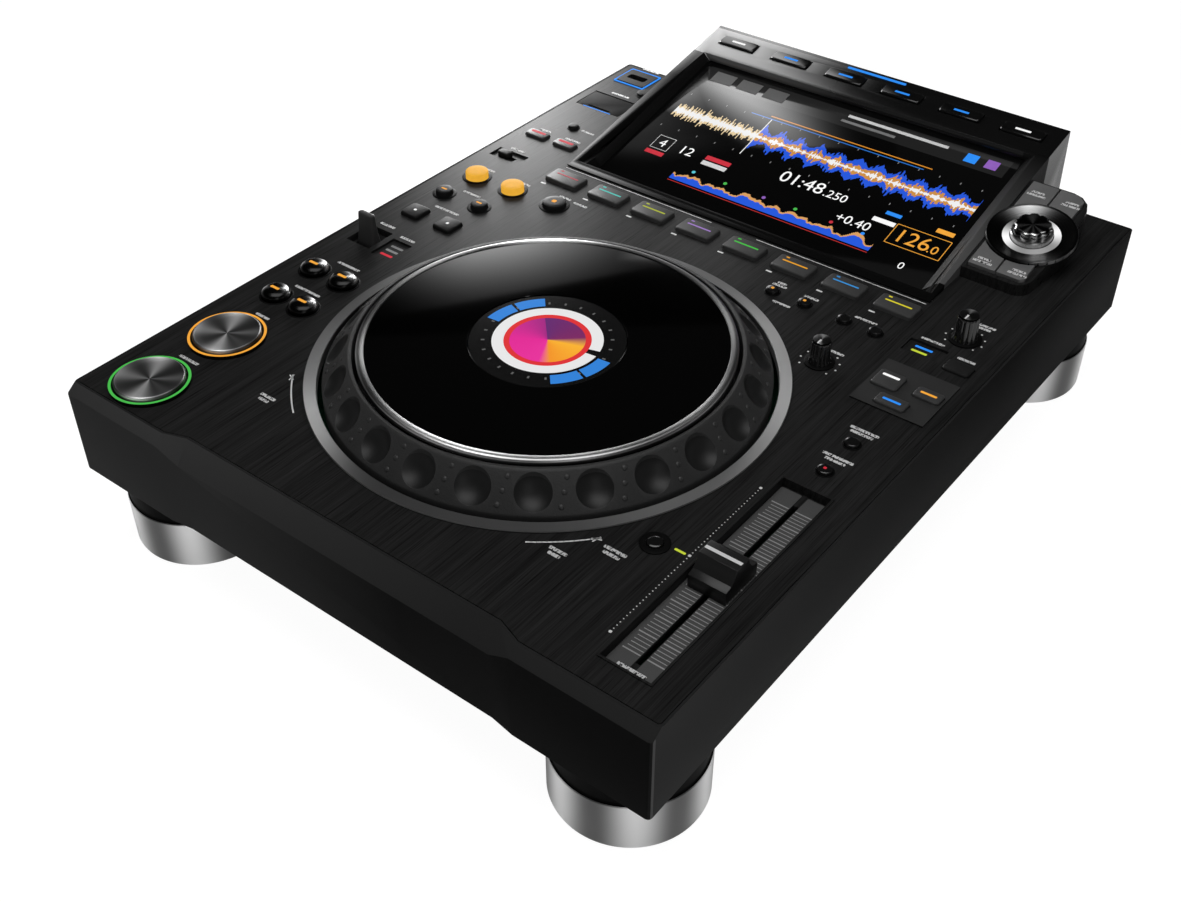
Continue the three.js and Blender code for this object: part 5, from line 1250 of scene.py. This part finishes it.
for k, (u, glow) in enumerate(dots):
    name = f"screen_dot_{k + 1}"
    dot = turned(name, [(1.1, 0), (1.1, 0.04), (0.2, 0.05)], (0, 0, 0), 20)
    dress(stand(dot, name, on_glass(u, 26, 0.03), GLASS_TILT), "lamp_" + glow)
print("screen figures made")

# %% [markdown]
# ## Printed marks and small lamps on the deck
# Beside each control the deck carries pale bars and ticks. Each is a plate a few hundredths of
# a millimetre thick. All marks of one ink are joined into one piece.

# %% Marks on the deck
MARK, ON_DECK = 0.05, 0.02


def bar(place, width, depth, turn=0.0):
    return plate("bar", width, depth, MARK, min(width, depth) * 0.3, at(*place, ON_DECK), 0.0, turn)


def from_jog(radius, angle):
    """A place on the deck at an angle around the wheel."""
    return JOG[0] + radius * math.cos(angle), JOG[1] + radius * math.sin(angle)


def arc(radius, start, end, width, steps=14):
    """A printed arc around the wheel: short bars laid end to end."""
    step = (end - start) / steps
    length = 2 * radius * math.sin(math.radians(abs(step)) / 2) * 1.15
    pieces = []
    for k in range(steps):
        angle = math.radians(start + step * (k + 0.5))
        spot = at(*from_jog(radius, angle), ON_DECK)
        pieces.append(plate("arc", width, length, MARK, 0, spot, 0.0, angle))
    return pieces


CUE_STEP, SCALE_STEP, SCALE_FRONT = 29.3, 2.054, -182.7
words = [bar((x, y), width, 1.7) for x, y, width in (
    (-135.5, -165.9, 13), (-135.5, -120.6, 9), (-134.5, -92, 17), (-134.5, -63.6, 15),
    (-147, -22.5, 10), (-129, -26.5, 10), (-133, 8, 17), (-133.8, 29.3, 12), (-144.4, 55.2, 9),
    (-119, 55.4, 9), (-91, 57, 8), (-146.4, 83, 10), (-149, 111, 8), (-128.8, 111, 11),
    (-128, 124, 9), (-147.3, 213, 12), (-121, 184, 8), (-142.2, 174.5, 13), (47, 54.6, 8),
    (65.3, 54.6, 8), (96, 54, 12), (95.8, 22.4, 13), (140.3, 82, 14), (149, 53.5, 9),
    (129.6, 58, 12), (138, -46.2, 10), (138, -23.6, 11), (56.2, 41.2, 10), (98, -147.2, 11),
    (98, -150, 8), (-80, 56, 9), (-85.5, -162.7, 9), (-85.5, -165.4, 6), (80, -160.9, 9),
    (80, -163.6, 6), (140.3, 84.5, 17), (140.3, 29.9, 19), (47, 57, 5), (138, -43.6, 15),
    (138, -21, 14),
)]
dress(joined("deck_words", words), "print_words")
pale = [bar((side * 63, 84.2), 98, 0.45) for side in (-1, 1)]
# The long strip at the foot of the housing's front lip is no print but a painted highlight of the
# lip's edge.
pale.append(bar((0, 88.7), 226, 0.5))
pale += [bar(((k - 3.5) * CUE_STEP - 8.4, 62.6), 3.4, 1.1) for k in range(8)]
for start, end, tip in ((220.3, 234.3, 221.2), (304.8, 319.6, 318.7)):
    pale += arc(116.6, start, end, 0.7)
    head = math.radians(tip)
    pale += [bar(from_jog(117, head), 0.6, 4.4, head + lean) for lean in (-0.45, 0.45)]
for _, (x, y), *_ in KNOBS.values():
    for k in range(9):
        angle = math.radians(-40 + 32.5 * k)
        pale.append(bar((x + 9.3 * math.cos(angle), y + 9.3 * math.sin(angle)), 0.9, 0.9))
for k in range(51):
    size = 1.3 if k in (0, 25, 50) else 0.5
    pale.append(bar((122.6, SCALE_FRONT + SCALE_STEP * k), size, size))
dress(joined("deck_print_and_lip_highlight", pale), "print_pale")
print("printed marks", len(pale))

# %% [markdown]
# The fader runs over two grey strips in a sunken tray. Each strip carries fifty-one pale lines,
# and every fifth one is longer and thicker, so that a setting can be read.

# %% Fader scale
FADER_X = 138.2
scale_lines, strips = [], []
for side in (-1, 1):
    strips.append(plate("tray", 9.9, 124, MARK, 0.5, at(FADER_X + side * 6.4, -131.7, -4.0)))
    for k in range(51):
        wide, thick = (8.3, 0.6) if k % 5 == 0 else (7.4, 0.36)
        spot = at(FADER_X + side * (1.6 + wide / 2), SCALE_FRONT + SCALE_STEP * k, -3.94)
        scale_lines.append(plate("line", wide, thick, MARK, 0, spot))
dress(joined("fader_tray_floor", strips), "tray_floor")
dress(joined("fader_scale", scale_lines), "print_mid")
label = plate("fader_label", 13.0, 1.6, MARK, 0.3, at(FADER_X, -190.4, -3.9))
dress(label, "print_words")
ridge = plate("fader_ridge_line", 17.0, 1.7, 0.06, 0.3, at(FADER_X, -131.5, 9.6))
dress(ridge, "print_pale", "tempo_slider")
print("fader lines", len(scale_lines))

# %% [markdown]
# Lit marks are thin plates as well. The ones on keys ride with their key, so that they go down
# with it, and the hot cue keys have one colour each.

# %% Lit marks
cue_tones = [
    (0.42, 0.05, 0.07), (0.08, 0.54, 0.48), (0.42, 0.48, 0.03), (0.34, 0.2, 0.54),
    (0.06, 0.54, 0.06), (0.78, 0.35, 0.02), (0.04, 0.26, 0.62), (0.68, 0.6, 0.03),
]
for k, tone in enumerate(cue_tones, 1):
    lamp(f"cue_lamp_{k}", tone)
    x = (k - 4.5) * CUE_STEP
    for kind, shift, y, width in (("light", 0, 73.6, 14.5), ("dot", -6, 76.8, 2.0)):
        lit = plate(f"hot_cue_{kind}_{k}", width, 1.0, MARK, 0.3, at(x + shift, y, 2.0))
        dress(lit, f"cue_lamp_{k}", f"hot_cue_{k}")


WINDOW = -1.38  # the floor of a sunken window


def lit_mark(name, place, size, up, body, finish):
    dress(plate(name, *size, MARK, min(size) * 0.3, at(*place, up)), finish, body)


for key, name, size, up, body in (
    ("search", "search_light", (5.6, 1.6), 4.6, "search_keys"),
    ("track", "track_light", (5.6, 1.6), 4.6, "track_search_keys"),
    ("loop", "beat_loop_light", (3.6, 1.1), 3.0, "beat_loop_keys"),
    ("reloop", "reloop_light", (2.6, 2.6), 2.6, "reloop_button"),
    ("call", "call_light", (1.5, 1.5), 2.4, "call_keys"),
):
    for end, place in each_of(key):
        lit_mark(name + end, place, size, up, body, "lamp_amber")
for name, place, size, up, body, finish in (
    ("jump_light_left", (-144.6, -3.8), (1.6, 1.6), 1.9, "beat_jump_keys", "lamp_white"),
    ("jump_light_right", (-121.6, -3.8), (1.6, 1.6), 1.9, "beat_jump_keys", "lamp_white"),
    ("slip_light", (-149, 104.9), (10, 2.0), 1.6, "slip_button", "lamp_red"),
    ("quantize_light", (-128.8, 104.9), (10, 2.0), 1.6, "quantize_button", "lamp_red"),
    ("sync_light", (128.6, 19.2), (8.5, 1.6), 2.0, "beat_sync_button", "lamp_white"),
    ("master_light", (148.4, 17.4), (8.0, 1.4), 2.0, "master_button", "lamp_amber"),
    ("key_sync_light", (137.6, 3.2), (9.0, 1.4), 2.0, "key_sync_button", "lamp_blue"),
    ("tempo_light", KEYS["tempo"][0], (1.4, 1.4), 2.0, "tempo_keys", "lamp_red"),
    ("reset_lamp", (118.2, -131.6), (5.2, 1.2), ON_DECK, "casing", "lamp_lime"),
    ("position_lamp_low", (-128.9, -42.6), (8.0, 1.6), WINDOW, "casing", "lamp_red"),
    ("position_lamp_mid", (-129, -38.4), (8.0, 1.6), WINDOW, "casing", "print_dim"),
    ("position_lamp_high", (-129, -34.4), (8.0, 1.6), WINDOW, "casing", "print_dim"),
    ("indicator_lamp_blue", (128.2, 52), (9, 1.5), WINDOW, "casing", "lamp_blue"),
    ("indicator_lamp_green", (127.6, 48.2), (8, 1.5), WINDOW, "casing", "lamp_lime"),
    ("card_lamp", (-142.2, 150.6), (20, 0.8), ON_DECK, "casing", "lamp_blue"),
):
    lit_mark(name, place, size, up, body, finish)
frame_sides = [
    plate("side", width, depth, 0.5, 0.2, at(-147.3 + dx, 198.6 + dy, ON_DECK))
    for dx, dy, width, depth in (
        (0, 9.6, 21.6, 0.9), (0, -9.6, 21.6, 0.9), (10.6, 0, 0.9, 19), (-10.6, 0, 0.9, 19),
    )
]
dress(joined("stick_lamp", frame_sides), "lamp_blue")
print("lit marks made")

# %% [markdown]
# The keys on the sloping housing get their marks on its plane: two lines of print on each
# browse key, and a lit bar on each menu key. A long blue bar lies along the rear edge.

# %% Marks on the display housing
KEY_TOP = 1.21
for name, y in (("browse_lower", 122.5), ("browse_upper", 179.5)):
    lines = [
        plate("line", width, 1.5, MARK, 0.3, on_plane(x, y + dy, KEY_TOP), SLOPE)
        for x in (121.5, 140.0) for dy, width in ((0, 10), (2.4, 7))
    ]
    dress(joined(name + "_words", lines), "print_words", name + "_keys")
MENU_STEP = 36.6
for k in range(1, 7):
    place = on_plane((k - 3.5) * MENU_STEP, 224.6, KEY_TOP)
    mark = plate(f"menu_mark_{k}", 9.0, 1.5, MARK, 0.3, place, SLOPE)
    dress(mark, "lamp_blue" if 1 < k < 6 else "lamp_white", f"menu_button_{k}")
rear_bar = plate("rear_light_bar", 37.5, 1.6, 0.3, 0.4, on_plane(-3.2, 233.5, ON_DECK), SLOPE)
dress(rear_bar, "lamp_blue")
print("browse and menu keys marked")

# %% [markdown]
# ## Studio
# The part stands on a pale floor. A broad lamp overhead lights the black parts evenly, and a
# small one at the front right draws the edges of the feet. The floor's paper looks white to the
# camera whatever light falls on it, but shades as paper does in the mirrors of the part.

# %% Floor
bpy.ops.mesh.primitive_plane_add(size=12, location=(0, 0, 0))
floor = bpy.context.object
floor.name = "floor"
paper = Finish("floor_paper", {
    "Roughness": 0.9, "Specular IOR Level": 0.1, "Base Color": grey(0.7),
})
path = paper.tree.nodes.new("ShaderNodeLightPath")
rays = [path.outputs[f"Is {kind} Ray"] for kind in ("Camera", "Transmission", "Glossy")]
seen, through, mirrored = (Socket(paper, ray) for ray in rays)
paper_white = paper.node("ShaderNodeEmission", {}, {"Color": grey(1.0), "Strength": 1.2})
shaded = Socket(paper, paper.shader.outputs["BSDF"])
share = (seen | through) * 0.8 + mirrored * 0.3
shown = paper.node("ShaderNodeMixShader", {}, {0: share, 1: shaded, 2: paper_white})
paper.join(paper.tree.nodes["Material Output"].inputs["Surface"], shown)
coat(floor, "floor_paper")
print("floor laid")

# %% [markdown]
# The world is white to the camera, as a backdrop would be, and dim to everything else, darker
# above than near the horizon. A mix by the kind of ray keeps the two apart.

# %% World
world = bpy.data.worlds.new("studio")
scene.world = world
world.use_nodes = True
sky = world.node_tree
sky.nodes.clear()
rays = sky.nodes.new("ShaderNodeLightPath")
direction = sky.nodes.new("ShaderNodeTexCoord")
heights = sky.nodes.new("ShaderNodeSeparateXYZ")
ramp = sky.nodes.new("ShaderNodeValToRGB")
for step, (position, tone) in zip(ramp.color_ramp.elements, ((0.1, 0.3), (0.42, 0.02))):
    step.position, step.color = position, grey(tone)
dim = sky.nodes.new("ShaderNodeBackground")
dim.inputs["Strength"].default_value = 0.8
white = sky.nodes.new("ShaderNodeBackground")
white.inputs["Color"].default_value = grey(1.0)
choose = sky.nodes.new("ShaderNodeMixShader")
out = sky.nodes.new("ShaderNodeOutputWorld")
for source, target in (
    (direction.outputs["Generated"], heights.inputs[0]),
    (heights.outputs["Z"], ramp.inputs["Fac"]),
    (ramp.outputs["Color"], dim.inputs["Color"]),
    (rays.outputs["Is Camera Ray"], choose.inputs["Fac"]),
    (dim.outputs[0], choose.inputs[1]),
    (white.outputs[0], choose.inputs[2]),
    (choose.outputs[0], out.inputs["Surface"]),
):
    sky.links.new(source, target)
print("world made")


# %% [markdown]
# Area lamps stand for the studio's softboxes. Their size makes the shadows soft, and their
# power is low because the panel further down gives most of the light.

# %% Lamps
def softbox(name, place, aim, width, height, watts):
    data = bpy.data.lights.new(name, "AREA")
    data.shape, data.size, data.size_y, data.energy = "RECTANGLE", width, height, watts
    made = bpy.data.objects.new(name, data)
    scene.collection.objects.link(made)
    made.location = place
    made.rotation_euler = (Vector(aim) - Vector(place)).to_track_quat("-Z", "Y").to_euler()
    return made


softbox("overhead", (0.1, -0.2, 1.5), (0, 0, 0.1), 1.4, 1.0, 14)
softbox("front_right", (1.1, -1.0, 0.7), (0, 0, 0.06), 0.5, 0.9, 1.5)
print("lamps placed")

# %% [markdown]
# The sheen on the black plate and on the deck is the mirror image of a glowing panel close
# behind the left rear corner. Its glow is written like any finish: one soft blob for the
# plate, one for the display, brightest near the table and fading upwards to a clean edge.

# %% Glowing panel
PANEL_MIDDLE, PANEL_WAY = Vector((-280, 260, 225)) * MM, Vector((0.66, -0.75, 0))
PANEL_STRENGTH, PLATE_GLOW, GLASS_GLOW = 40.0, 6.7, 4.0
bpy.ops.mesh.primitive_plane_add(size=1, location=(0, 0, 0))
panel = bpy.context.object
panel.name = "sheen_panel"
panel.scale = (0.54, 0.36, 1)
bpy.ops.object.transform_apply(scale=True)
panel.rotation_euler = PANEL_WAY.to_track_quat("Z", "Y").to_euler()
panel.location = PANEL_MIDDLE
cloth = Finish("glow_cloth", {
    "Base Color": grey(0.0), "Specular IOR Level": 0.0, "Emission Strength": PANEL_STRENGTH,
})
u, v, _ = cloth.split(cloth.where())


def fall(offset, reach):
    """A bell that is 1 where the offset is nought."""
    return math.e ** (-1 * (offset / reach) ** 2.0)


low_glow = math.e ** (clamp(58 - v, 0.0, 100.0) / 57 * clamp(u / 110 + 1.1))
plate_blob = fall((u + 60) | ((u + 60) * -1.6), 79.0) * fall((v - 64) | 0.0, 46.0)
plate_blob = plate_blob * ((v + u * 0.18) < 137.0) * low_glow * PLATE_GLOW
glass_blob = fall(abs(u - 120), 45.0) * (v < 115.0) * GLASS_GLOW
glow = (plate_blob | glass_blob) / PANEL_STRENGTH
cloth.feed({"Emission Color": cloth.blend(glow, grey(0.0), grey(1.0))})
coat(panel, "glow_cloth")
panel.visible_camera = False
print("panel lit")
